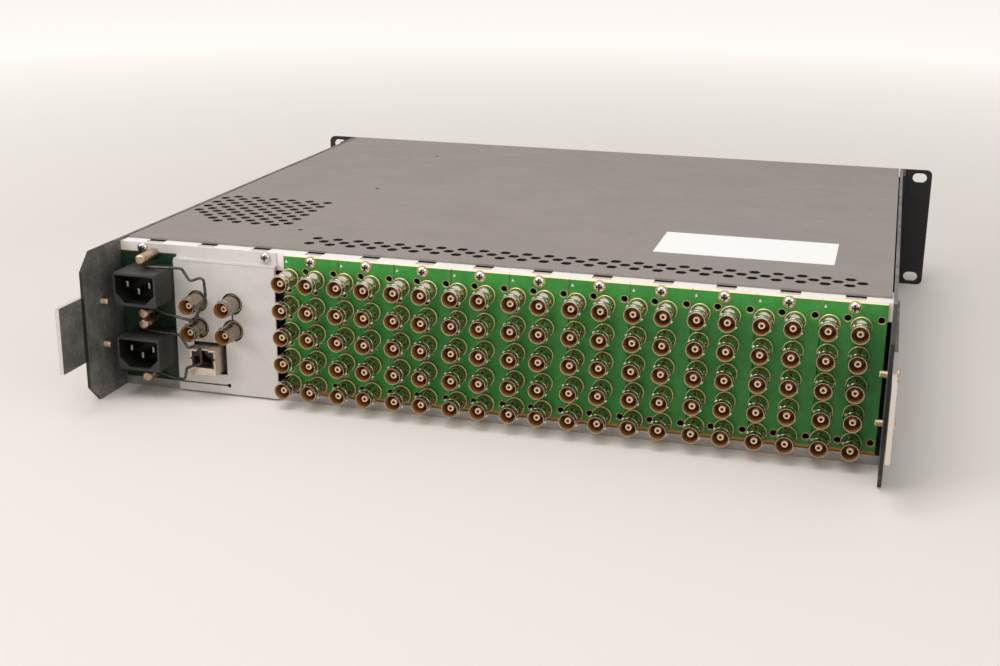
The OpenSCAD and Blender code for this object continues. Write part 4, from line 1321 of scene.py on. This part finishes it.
@dataclass
class PowerInlet:
    """A three-pin appliance inlet: moulded body with a cavity, lined with a near black sheet of
    painted shade.
    """

    workshop: Workshop
    name: str
    node: str
    cavity_w: float = 24.2 * MM
    cavity_h: float = 16.2 * MM
    cavity_d: float = 17 * MM
    corner_cut: float = 5.6 * MM
    rim_bevel: float = 0.45 * MM
    side_r: float = 1.6 * MM
    side_steps: int = 4
    liner_t: float = 0.12 * MM
    liner_gap: float = 0.01 * MM
    liner_front: float = 0.9 * MM

    def outline(self, width: float, height: float, cut: float, middle: Vector) -> list[Flat]:
        """Gives the cavity's outline, a box with its two lower corners cut.

        Args:
            width: its width.
            height: its height.
            cut: how far the lower corners are cut.
            middle: its middle.

        Returns:
            The corners in X and Z.
        """
        w, h = width / 2, height / 2
        flat = [(-w, h), (w, h), (w, cut - h), (w - cut, -h), (cut - w, -h), (-w, cut - h)]
        return [(middle.x + x, middle.z + z) for x, z in flat]

    def build(self) -> None:
        """Makes the body and hands it over."""
        low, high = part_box(self.node)
        middle = (low + high) / 2
        corners = [(low.x, low.z), (high.x, low.z), (high.x, high.z), (low.x, high.z)]
        block = self.workshop.prism(self.name, corners, low.y, high.y)
        shape = bmesh.new()
        shape.from_mesh(block.data)
        along = [e for e in shape.edges if abs(e.verts[0].co.y - e.verts[1].co.y) > MM]
        bmesh.ops.bevel(shape, geom=along, offset=self.side_r, segments=self.side_steps,
                        affect="EDGES", profile=0.5)
        shape.to_mesh(block.data)
        shape.free()
        cavity = self.outline(self.cavity_w, self.cavity_h, self.corner_cut, middle)
        cutter = self.workshop.prism("cavity", cavity, high.y - self.cavity_d, high.y + MM)
        body = self.workshop.shaped(block, [cutter], self.rim_bevel, 2)
        self.workshop.hand_over(body, "frame", "black_plastic", replaces=[self.node])
        floor, thin, slack = high.y - self.cavity_d, self.liner_t, 2 * self.liner_gap
        outer = self.outline(self.cavity_w - slack, self.cavity_h - slack, self.corner_cut, middle)
        inner = self.outline(self.cavity_w - 2 * thin, self.cavity_h - 2 * thin, self.corner_cut,
                             middle)
        # The near black lining inside the cavity is painted shade.
        liner = self.workshop.prism(f"{self.name}_cavity", outer, floor + self.liner_gap,
                                    high.y - self.liner_front)
        cutter = self.workshop.prism("cut", inner, floor + thin, high.y + MM)
        liner = self.workshop.shaped(liner, [cutter])
        self.workshop.hand_over(liner, "frame", "black_plastic", "inner_black")


@dataclass
class PowerSide:
    """The power inlets with their pins, the bail posts and the wire bails."""

    workshop: Workshop
    inlet_rise: float = 38.1 * MM
    blade_w: float = 2 * MM
    blade_h: float = 4 * MM
    blade_gap: float = 14 * MM
    blade_bevel: float = 0.75 * MM
    earth_drop: float = 4 * MM
    post_r: float = 3.2 * MM
    post_off: float = 15.75 * MM
    post_sides: int = 32
    # The rounded end's steps: how far in from the radius, and back from the end.
    post_end: tuple = ((0, 1.1 * MM), (0.25 * MM, 0.5 * MM), (0.8 * MM, 0.1 * MM), (1.4 * MM, 0))
    wire_r: float = 0.8 * MM
    wire_sides: int = 12
    bend_r: float = 2.2 * MM
    axis_stand: float = 13.5 * MM
    meet: float = 11.6 * MM
    hold: float = 5 * MM
    reach: float = 40.2 * MM
    rise: float = 12.6 * MM
    tip: float = 1.2 * MM
    # Each bail's bends, as shares of the reach and the rise.
    upper_shares: tuple = ((0.634, 1), (0.759, 0.444), (0.978, 0.73), (1, -0.143), (0.896, -0.825),
                           (0.784, -1.413), (0.323, -1.206))
    lower_shares: tuple = ((0.634, 1), (0.759, 0.444), (0.978, 0.73), (1, -0.143), (0.719, -0.532),
                           (0.672, -1.103), (0.478, -1.127))
    upper_turn: float = math.radians(4)
    lower_turn: float = math.radians(14)

    def pins(self) -> None:
        """Makes the pins of both inlets."""
        low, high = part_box("inlet_pins")
        half_w, half_h = self.blade_w / 2, self.blade_h / 2
        places = [(self.blade_gap / 2, 0), (-self.blade_gap / 2, 0), (0, -self.earth_drop)]
        boxes = [((x - half_w, low.y - high.y, z - half_h), (x + half_w, 0, z + half_h))
                 for x, z in places]
        source = self.workshop.shaped(self.workshop.blocks("pins", boxes), bevel=self.blade_bevel,
                                      segments=3)
        start = Vector(((low.x + high.x) / 2, high.y, high.z - half_h))
        piece = self.workshop.repeat("inlet_pin_set", source, "pin_plate", start, rows=2,
                                     row_step=(0, 0, -self.inlet_rise))
        self.workshop.hand_over(piece, "frame", "pin_plate", replaces=["inlet_pins"])

    def posts(self) -> None:
        """Makes the four posts with their rounded ends."""
        low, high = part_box("bail_posts")
        length, r = high.y - low.y, self.post_r
        end = [(r - inwards, length - back) for inwards, back in self.post_end]
        source = self.workshop.turned("post", [(0, 0), (r, 0), *end, (0, length)], self.post_sides)
        start = Vector(((low.x + high.x) / 2, low.y, high.z - r))
        piece = self.workshop.repeat("bail_post_set", source, "post_metal", start, pairs=2,
                                     pair_step=(0, 0, -2 * self.post_off), rows=2,
                                     row_step=(0, 0, -self.inlet_rise))
        self.workshop.hand_over(piece, "frame", "post_metal", replaces=["bail_posts"])

    def bail(self, name: str, node: str, body: str, turn: float, shares: Sequence[Flat]) -> None:
        """Bends one wire bail.

        Args:
            name: the piece's name.
            node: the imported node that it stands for.
            body: the body that it moves with.
            turn: its turn away from the boards.
            shares: each bend's place, as shares of the reach and the rise.
        """
        posts_low, posts_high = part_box("bail_posts")
        _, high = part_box(node)
        axis_x = (posts_low.x + posts_high.x) / 2
        axis_y = posts_low.y + self.axis_stand
        ends = self.post_off + self.tip
        middle_z = high.z - ends
        flat = [(0, ends), (0, self.meet), (self.hold, self.meet),
                *[(run * self.reach, rise * self.rise) for run, rise in shares],
                (self.hold, -self.meet), (0, -self.meet), (0, -ends)]
        points = [(axis_x - out * math.cos(turn), axis_y + out * math.sin(turn), middle_z + up)
                  for out, up in flat]
        piece = self.workshop.wire(name, points, "wire_steel", self.bend_r, self.wire_r,
                                   self.wire_sides)
        self.workshop.hand_over(piece, body, "wire_steel", replaces=[node])

    def build(self) -> None:
        """Makes the inlets and all that stands round them."""
        for hand in ("upper", "lower"):
            PowerInlet(self.workshop, f"inlet_body_{hand}", f"power_inlet_{hand}").build()
        self.pins()
        self.posts()
        for hand, turn, shares in (("upper", self.upper_turn, self.upper_shares),
                                   ("lower", self.lower_turn, self.lower_shares)):
            self.bail(f"bail_wire_{hand}", f"wire_bail_{hand}", f"bail_{hand}", turn, shares)


@dataclass
class RearBoards:
    """What is on the rear boards besides the jacks: plated rings and small marks."""

    workshop: Workshop
    edge_gap: float = 0.25 * MM
    jack_edge: float = 4.65 * MM
    jack_top: float = 74.2 * MM
    pilot_shift: float = 1.6 * MM
    pilot_rows: int = 4
    pilot_ring: Flat = (1.65 * MM, 2.0 * MM)
    plated_shares: Flat = (0.403, 0.909)
    plated_z: Flat = (77.7 * MM, 11.2 * MM)
    plated_ring: Flat = (1.85 * MM, 2.2 * MM)
    screw_ring: Flat = (1.5 * MM, 3.4 * MM)
    ring_t: float = 0.06 * MM
    mark_half: float = 0.8 * MM
    mark_in: Flat = (1.9 * MM, 2.9 * MM)
    rule_half: Flat = (2.6 * MM, 0.12 * MM)
    # The rule's place, as shares of a board's pitch and of the jacks' row pitch.
    rule_shares: Flat = (0.62, 2.42)

    def ring(self, radii: Flat) -> bpy.types.Object:
        """Makes one flat plated ring of an inner and an outer radius.

        Args:
            radii: the two radii.

        Returns:
            The ring.
        """
        inner, outer = radii
        outline = [(inner, 0), (outer, 0), (outer, self.ring_t), (inner, self.ring_t), (inner, 0)]
        return self.workshop.turned("ring", outline)

    def on_boards(self, name: str, source: bpy.types.Object, finish: str, start: Vector,
                  **steps: object) -> None:
        """Repeats a mark on every board and hands it over.

        Args:
            name: the piece's name.
            source: the mark.
            finish: its finish.
            start: the place of the first one.
            steps: its pairs and rows on each board.
        """
        piece = self.workshop.repeat(name, source, finish, start, groups=BOARD_COUNT,
                                     group_step=(-BOARD_PITCH, 0, 0), **steps)
        self.workshop.hand_over(piece, "frame", "green_board", finish)

    def build(self) -> None:
        """Makes the rings round the holes and under the screws, and two marks on each board."""
        _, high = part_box("rear_boards")
        screws_low, screws_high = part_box("board_screws")
        edge, face = high.x + self.edge_gap, high.y
        first, second = self.plated_shares
        upper, lower = self.plated_z
        self.on_boards("plated_rings", self.ring(self.plated_ring), "laminate_ring",
                       Vector((edge - first * BOARD_PITCH, face, upper)), pairs=2,
                       pair_step=((first - second) * BOARD_PITCH, 0, 0), rows=2,
                       row_step=(0, 0, lower - upper))
        start = Vector((edge - self.jack_edge + self.pilot_shift, face,
                        self.jack_top - JACK_ROW / 2))
        self.on_boards("pilot_rings", self.ring(self.pilot_ring), "laminate_ring", start, pairs=2,
                       pair_step=(-JACK_PAIR, 0, 0), rows=self.pilot_rows,
                       row_step=(0, 0, -JACK_ROW))
        start = Vector((edge - BOARD_PITCH / 2, face, (screws_low.z + screws_high.z) / 2))
        self.on_boards("screw_pads", self.ring(self.screw_ring), "laminate_ring", start)
        half = self.mark_half
        mark = self.workshop.prism("mark", [(-half, -half), (half, -half), (0, half)], 0,
                                   self.ring_t)
        self.on_boards("corner_marks", mark, "board_mark",
                       Vector((edge - self.mark_in[0], face, high.z - self.mark_in[1])))
        half_l, half_w = self.rule_half
        rule = self.workshop.blocks("rule", [
            ((-half_l, 0, -half_w), (half_l, self.ring_t, half_w))])
        along, down = self.rule_shares
        self.on_boards("board_rules", rule, "board_mark",
                       Vector((edge - along * BOARD_PITCH, face, self.jack_top - down * JACK_ROW)))


@dataclass
class NetworkJack:
    """The eight-way socket: tinned shell, black insert and sprung contacts."""

    workshop: Workshop
    node: str = "network_jack"
    cavity_w: float = 12 * MM
    cavity_h: float = 7.2 * MM
    cavity_d: float = 12.4 * MM
    lift: float = 1.2 * MM
    rim: float = 1.15 * MM
    sill: float = 4.3 * MM
    top_gap: float = 7 * MM
    notch: float = 1.5 * MM
    notch_d: float = 2.4 * MM
    notch_lift: float = 0.6 * MM
    notch_wall: float = 0.3 * MM
    edge_bevel: float = 0.15 * MM
    floor_share: float = 0.6
    latch: Flat = (6 * MM, 1.6 * MM)
    latch_tip: Flat = (3.4 * MM, 1.5 * MM)
    wall: float = 0.45 * MM
    insert_back: float = 0.6 * MM
    insert_gap: float = 0.01 * MM
    contact_count: int = 8
    contact_pitch: float = 1.02 * MM
    contact_r: float = 0.19 * MM
    contact_bend: float = 0.4 * MM
    contact_sides: int = 8
    # A contact's bends: how far behind the front, and above the insert's floor.
    contact_line: tuple = ((-4.6 * MM, 0.3 * MM), (-5.4 * MM, 0.9 * MM), (-10.5 * MM, 2.8 * MM),
                           (-11.4 * MM, 2.8 * MM))

    def outline(self, middle: Vector, inset: float) -> list[Flat]:
        """Gives the stepped opening's outline, made smaller by an inset.

        Args:
            middle: the socket's middle.
            inset: how far it is drawn in all round.

        Returns:
            The corners in X and Z.
        """
        low = -self.cavity_h * self.floor_share + inset
        top = low + self.cavity_h - 2 * inset
        half = self.cavity_w / 2 - inset
        step = self.latch[0] / 2 - inset
        tip = self.latch_tip[0] / 2 - inset
        shoulder = top + self.latch[1]
        peak = shoulder + self.latch_tip[1]
        side = [(half, low), (half, top), (step, top), (step, shoulder), (tip, shoulder),
                (tip, peak)]
        flat = side + [(-x, z) for x, z in reversed(side)]
        return [(middle.x + x, middle.z + self.lift + z) for x, z in flat]

    def build(self) -> None:
        """Makes the three parts and hands them over."""
        low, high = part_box(self.node)
        middle = (low + high) / 2
        shell = self.workshop.blocks("network_jack_shell", [(low, high)])
        back = high.y - self.cavity_d
        room_low = Vector((low.x + self.rim, back, low.z + self.sill))
        room_high = Vector((high.x - self.rim, high.y + MM, high.z - self.rim))
        notch_z = (room_low.z + room_high.z) / 2 + self.notch_lift
        cuts = [(room_low, room_high),
                ((middle.x - self.top_gap / 2, high.y - self.notch_d, room_high.z - MM),
                 (middle.x + self.top_gap / 2, high.y + MM, high.z + MM)),
                ((low.x + self.notch_wall, high.y - self.notch_d, notch_z - self.notch / 2),
                 (high.x - self.notch_wall, high.y + MM, notch_z + self.notch / 2))]
        cutters = [self.workshop.blocks("cut", [cut]) for cut in cuts]
        shell = self.workshop.shaped(shell, cutters, self.edge_bevel, 1)
        self.workshop.hand_over(shell, "frame", "tin_shell", replaces=[self.node])
        gap = self.insert_gap
        insert = self.workshop.blocks("network_jack_insert", [
            (room_low + Vector((gap, gap, gap)),
             (room_high.x - gap, high.y - self.insert_back, room_high.z - gap))])
        cutter = self.workshop.prism("cut", self.outline(middle, self.wall), back + self.wall,
                                     high.y + MM)
        insert = self.workshop.shaped(insert, [cutter])
        self.workshop.hand_over(insert, "frame", "tin_shell", "inner_black")
        floor = middle.z + self.lift - self.cavity_h * self.floor_share + self.wall
        source = self.workshop.wire("contact", [(0, y, z) for y, z in self.contact_line],
                                    "contact_gold", self.contact_bend, self.contact_r,
                                    self.contact_sides)
        half = (self.contact_count - 1) / 2 * self.contact_pitch
        contacts = self.workshop.repeat("network_jack_contacts", source, "contact_gold",
                                        Vector((middle.x + half, high.y, floor)),
                                        groups=self.contact_count,
                                        group_step=(-self.contact_pitch, 0, 0))
        self.workshop.hand_over(contacts, "frame", "tin_shell", "contact_gold")


@dataclass
class FanRotor:
    """A door fan's rotor: domed hub, shaft and curved blades."""

    workshop: Workshop
    number: int
    blades: int = 7
    centre_z: float = 44.05 * MM
    hub_r: float = 12 * MM
    hub_wall: float = 1.2 * MM
    hub_dish: float = 2 * MM
    hub_sides: int = 48
    # The rounded nose's steps: how far in from the radius, and back from the nose.
    hub_nose: tuple = ((2.4 * MM, 0), (0.8 * MM, 0.5 * MM), (0, 2 * MM))
    shaft_r: float = 1.42 * MM
    shaft_l: float = 2.5 * MM
    tip_r: float = 27.2 * MM
    root_sink: float = 0.5 * MM
    root_angle: float = math.radians(52)
    tip_angle: float = math.radians(28)
    chord: float = 14 * MM
    root_chord: float = 0.85
    chord_gain: float = 0.15
    camber: float = 1.1 * MM
    sweep: float = 0.12
    thick: float = 0.9 * MM
    edge_loss: float = 0.6
    steps: int = 7
    side_steps: int = 4

    def blade(self) -> bpy.types.Object:
        """Makes one twisted blade that reaches along X.

        Returns:
            The blade.
        """
        shape = bmesh.new()
        rows = []
        for i in range(self.steps + 1):
            out = i / self.steps
            radius = self.hub_r - self.root_sink + out * (self.tip_r - self.hub_r + self.root_sink)
            angle = self.root_angle + out * (self.tip_angle - self.root_angle)
            chord = self.chord * (self.root_chord + self.chord_gain * out)
            ring = []
            for side in (-1, 1):
                for k in range(self.side_steps + 1):
                    share = (k / self.side_steps - 0.5) * side
                    along = share * chord
                    camber = self.camber * (1 - 4 * share * share)
                    off = camber - side * self.thick / 2 * (1 - self.edge_loss * abs(2 * share))
                    turn = along * math.cos(angle) / radius
                    axial = along * math.sin(angle) + off * math.cos(angle)
                    sweep = turn - off * math.sin(angle) / radius + self.sweep * out
                    ring.append(shape.verts.new((radius * math.cos(sweep), axial,
                                                 radius * math.sin(sweep))))
            rows.append(ring)
        count = len(rows[0])
        for low, high in zip(rows, rows[1:]):
            for k in range(count):
                n = (k + 1) % count
                shape.faces.new((low[k], low[n], high[n], high[k]))
        shape.faces.new(rows[0])
        shape.faces.new(list(reversed(rows[-1])))
        bmesh.ops.recalc_face_normals(shape, faces=shape.faces)
        return self.workshop.keep("blade", shape)

    def build(self) -> None:
        """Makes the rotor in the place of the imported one."""
        node = f"fan_rotor_{self.number}"
        low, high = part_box(node)
        centre_x = (low.x + high.x) / 2
        hub_high = high.y - self.shaft_l
        dish = hub_high - self.hub_dish
        r = self.hub_r
        nose = [(r - inwards, low.y + back) for inwards, back in self.hub_nose]
        outline = [(0, low.y), *nose, (r, hub_high), (r - self.hub_wall, hub_high),
                   (r - self.hub_wall, dish), (self.shaft_r, dish), (self.shaft_r, high.y),
                   (0, high.y)]
        hub = self.workshop.turned("hub", outline, self.hub_sides)
        hub = self.workshop.repeat(f"fan_{self.number}_hub", hub, "black_plastic",
                                   Vector((centre_x, 0, self.centre_z)))
        middle = Vector((centre_x, (low.y + hub_high) / 2, self.centre_z))
        blades = self.workshop.repeat(f"fan_{self.number}_blades", self.blade(), "black_plastic",
                                      middle, groups=self.blades, turn=2 * math.pi / self.blades)
        for piece in (hub, blades):
            self.workshop.hand_over(piece, f"fan_{self.number}", "black_plastic", replaces=[node])


@dataclass
class PluginCard:
    """A plug-in card: board, moulded parts, small chips, capacitors and a front grip."""

    workshop: Workshop
    node: str
    body: str
    part_h: float
    pcb_t: float = 1.6 * MM
    # Each moulded part: its ends along the card, its ends up it, and its share of part_h.
    modules: tuple = ((0.1, 0.32, 0.2, 0.55, 1.0), (0.1, 0.3, 0.62, 0.9, 0.5),
                      (0.38, 0.5, 0.15, 0.45, 0.7), (0.42, 0.6, 0.55, 0.85, 0.4),
                      (0.68, 0.9, 0.3, 0.7, 0.9))
    module_bevel: float = 0.6 * MM
    chip: Point = (1.7 * MM, 5 * MM, 2 * MM)
    chip_bevel: float = 0.2 * MM
    chip_counts: tuple = (4, 5)
    chip_start: Flat = (0.335, 0.25)
    chip_steps: Flat = (0.18, 0.14)
    can_r: float = 3 * MM
    can_h: float = 9 * MM
    can_share: float = 0.8
    can_bevel: float = 0.5 * MM
    can_sides: int = 20
    can_count: int = 4
    can_in: float = 12 * MM
    can_low: float = 0.12
    can_step: float = 9 * MM
    grip_d: float = 8 * MM
    grip_w: float = 5 * MM
    grip_low: float = 60 * MM
    grip_h: float = 16 * MM
    grip_bevel: float = 1.2 * MM
    finger_l: float = 6 * MM
    finger_half: float = 0.7 * MM
    finger_stand: float = 0.05 * MM
    finger_sink: float = 0.02 * MM
    finger_count: int = 24
    finger_in: float = 0.2 * MM
    finger_low: float = 18 * MM
    finger_step: float = 2 * MM

    def can(self) -> bpy.types.Object:
        """Makes one round capacitor.

        Returns:
            The capacitor.
        """
        r, bevel = self.can_r, self.can_bevel
        h = min(self.part_h * self.can_share, self.can_h)
        outline = [(0, 0), (r, 0), (r, h - bevel), (r - bevel, h), (0, h)]
        return self.workshop.turned("can", outline, self.can_sides, Axis.RIGHT)

    def build(self) -> None:
        """Makes the parts of the card and hands them over."""
        low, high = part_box(self.node)
        face = high.x - self.pcb_t
        front = low.y + self.grip_d
        length, height = high.y - front, high.z - low.z
        shop = self.workshop
        board = shop.blocks(f"{self.node}_board", [((face, front, low.z), high)])
        boxes = [((face - h * self.part_h, front + a * length, low.z + c * height),
                  (face, front + b * length, low.z + d * height))
                 for a, b, c, d, h in self.modules]
        parts = shop.shaped(shop.blocks(f"{self.node}_modules", boxes), bevel=self.module_bevel)
        tall, half_l, half_w = self.chip
        chip = shop.shaped(shop.blocks("chip", [((-tall, -half_l, -half_w), (0, half_l, half_w))]),
                           bevel=self.chip_bevel, segments=1)
        start = Vector((face, front + self.chip_start[0] * length,
                        low.z + self.chip_start[1] * height))
        chips = shop.repeat(f"{self.node}_chips", chip, "inner_black", start,
                            groups=self.chip_counts[0],
                            group_step=(0, self.chip_steps[0] * length, 0),
                            rows=self.chip_counts[1], row_step=(0, 0, self.chip_steps[1] * height))
        start = Vector((face, front + self.can_in, low.z + self.can_low * height))
        cans = shop.repeat(f"{self.node}_capacitors", self.can(), "supply_case", start,
                           rows=self.can_count, row_step=(0, 0, self.can_step))
        grip = shop.blocks(f"{self.node}_grip", [
            ((face - self.grip_w, low.y, self.grip_low),
             (face, front + self.grip_d, self.grip_low + self.grip_h))])
        grip = shop.shaped(grip, bevel=self.grip_bevel, segments=3)
        finger = shop.blocks("finger", [
            ((-self.finger_stand, -self.finger_l, -self.finger_half),
             (self.finger_sink, 0, self.finger_half))])
        start = Vector((face, high.y - self.finger_in, low.z + self.finger_low))
        fingers = shop.repeat(f"{self.node}_fingers", finger, "contact_gold", start,
                              rows=self.finger_count, row_step=(0, 0, self.finger_step))
        for piece, finish, replaced in (
                (board, "card_board", [self.node]), (parts, "inner_black", [self.node]),
                (chips, "inner_black", []), (cans, "supply_case", []),
                (grip, "grip_blue", [self.node]), (fingers, "contact_gold", [])):
            shop.hand_over(piece, self.body, "card_board", finish, replaced)


@dataclass
class Studio:
    """Floor, light and camera."""

    camera_place: Point = (-0.2095, 0.9054, 0.2818)
    camera_look: Point = (0.2539, -0.9209, -0.2956)
    camera_down: Point = (-0.0895, 0.2819, -0.9552)
    lens: float = 51.0
    sensor: float = 36.0
    clip: Flat = (0.01, 30)
    floor_half: float = 6.0
    floor_colour: Colour = srgb(232, 226, 220)
    floor_roughness: float = 0.9
    floor_glow: float = 0.5
    glow_reach: Flat = (0.5, 1.9)
    sky: Colour = (1.0, 0.98, 0.96)
    sky_strength: float = 0.5
    sky_seen: float = 0.97
    sky_mirror_low: float = 0.22
    sky_mirror_high: float = 1.1
    sky_rise: Flat = (0.1, 0.7)
    # Each lamp's name, place, side and power in watts.
    lamps: tuple = (("over", (0.3, 0.6, 1.8), 1.2, 16), ("left", (1.5, 1.6, 1.1), 1.0, 14),
                    ("right", (-1.6, 1.3, 0.9), 1.0, 6))
    lamp_aim: Point = (0, 0.1, 0.05)

    def camera(self) -> None:
        """Places the camera where the photograph was taken from."""
        data = bpy.data.cameras.new("view")
        data.lens = self.lens
        data.sensor_width = self.sensor
        data.clip_start, data.clip_end = self.clip
        camera = bpy.data.objects.new("view", data)
        bpy.context.scene.collection.objects.link(camera)
        back = -Vector(self.camera_look).normalized()
        up = -Vector(self.camera_down).normalized()
        right = up.cross(back)
        turn = Matrix((right, up, back)).transposed().to_4x4()
        camera.matrix_world = Matrix.Translation(self.camera_place) @ turn
        bpy.context.scene.camera = camera

    def floor(self, workshop: Workshop) -> None:
        """Lays the plain floor.

        Args:
            workshop: what makes its mesh.
        """
        h = self.floor_half
        shape = bmesh.new()
        corners = [shape.verts.new((x, y, 0)) for x, y in ((-h, -h), (h, -h), (h, h), (-h, h))]
        shape.faces.new(corners)
        floor = workshop.keep("floor", shape)
        material = bpy.data.materials.new("floor")
        material.use_nodes = True
        shader = material.node_tree.nodes["Principled BSDF"]
        shader.inputs["Base Color"].default_value = (*self.floor_colour, 1)
        shader.inputs["Roughness"].default_value = self.floor_roughness
        graph = Graph(material.node_tree)
        place = graph.coordinates("Object")
        far = graph.call("ShaderNodeVectorMath", {0: place}, "Value", operation="LENGTH")
        glow = graph.times(graph.remap(far, *self.glow_reach), self.floor_glow)
        shader.inputs["Emission Color"].default_value = (*self.sky, 1)
        graph.feed(shader.inputs["Emission Strength"], glow)
        floor.data.materials.append(material)

    def world(self) -> None:
        """Sets the soft light from all round and the pale background."""
        world = bpy.data.worlds.new("studio")
        bpy.context.scene.world = world
        world.use_nodes = True
        graph = Graph(world.node_tree)
        back = world.node_tree.nodes["Background"]
        path = graph.add("ShaderNodeLightPath").outputs
        up = graph.part(graph.coordinates("Generated"), Way.UP)
        spread = self.sky_mirror_high - self.sky_mirror_low
        mirror = graph.math("ADD", graph.times(graph.remap(up, *self.sky_rise), spread),
                            self.sky_mirror_low)
        strength = self.choose(graph, path["Is Glossy Ray"], self.sky_strength, mirror)
        strength = self.choose(graph, path["Is Camera Ray"], strength, self.sky_seen)
        back.inputs["Color"].default_value = (*self.sky, 1)
        graph.feed(back.inputs["Strength"], strength)

    @staticmethod
    def choose(graph: Graph, share: object, first: object, second: object) -> bpy.types.NodeSocket:
        """Gives the first value, or the second where the share is one."""
        rest = graph.math("SUBTRACT", 1.0, share)
        return graph.math("ADD", graph.times(rest, first), graph.times(share, second))

    def lamp(self, name: str, place: Point, size: float, power: float) -> None:
        """Adds one soft square lamp.

        Args:
            name: the lamp's name.
            place: where it stands.
            size: its side.
            power: its power in watts.
        """
        data = bpy.data.lights.new(name, "AREA")
        data.size = size
        data.energy = power
        lamp = bpy.data.objects.new(name, data)
        bpy.context.scene.collection.objects.link(lamp)
        lamp.location = place
        lamp.rotation_mode = "QUATERNION"
        aim = Vector(self.lamp_aim) - Vector(place)
        lamp.rotation_quaternion = aim.to_track_quat("-Z", "Y")

    def build(self, workshop: Workshop) -> None:
        """Makes the whole studio.

        Args:
            workshop: what makes the floor's mesh.
        """
        self.camera()
        self.floor(workshop)
        self.world()
        for name, place, size, power in self.lamps:
            self.lamp(name, place, size, power)
        bpy.context.scene.view_settings.view_transform = "Standard"


def main() -> None:
    """Dresses the frame and builds each assembly in order."""
    logging.basicConfig(level=logging.INFO, format="%(message)s")
    workshop = Workshop()
    Studio().build(workshop)
    workshop.dress_nodes()
    CoaxJacks(workshop, "rear_jack", "jack_barrels", "jack_contacts", groups=BOARD_COUNT, pairs=2,
              rows=5, group_pitch=BOARD_PITCH, pair_pitch=JACK_PAIR, row_pitch=JACK_ROW).build()
    CoaxJacks(workshop, "reference_jack", "reference_jacks", "reference_contacts", groups=1,
              pairs=2, rows=2, group_pitch=0, pair_pitch=REFERENCE_PAIR, row_pitch=REFERENCE_ROW,
              contact_back=REFERENCE_BACK, shell="shaded_nickel").build()
    Fasteners(workshop).build()
    PowerSide(workshop).build()
    RearBoards(workshop).build()
    NetworkJack(workshop).build()
    for number in range(1, FAN_COUNT + 1):
        FanRotor(workshop, number).build()
    for number in range(1, CARD_COUNT + 1):
        PluginCard(workshop, f"card_{number}", f"plug_in_card_{number}", CARD_PARTS).build()
    PluginCard(workshop, "control_card", "plug_in_control_card", CONTROL_PARTS).build()


if __name__ == "__main__":
    main()
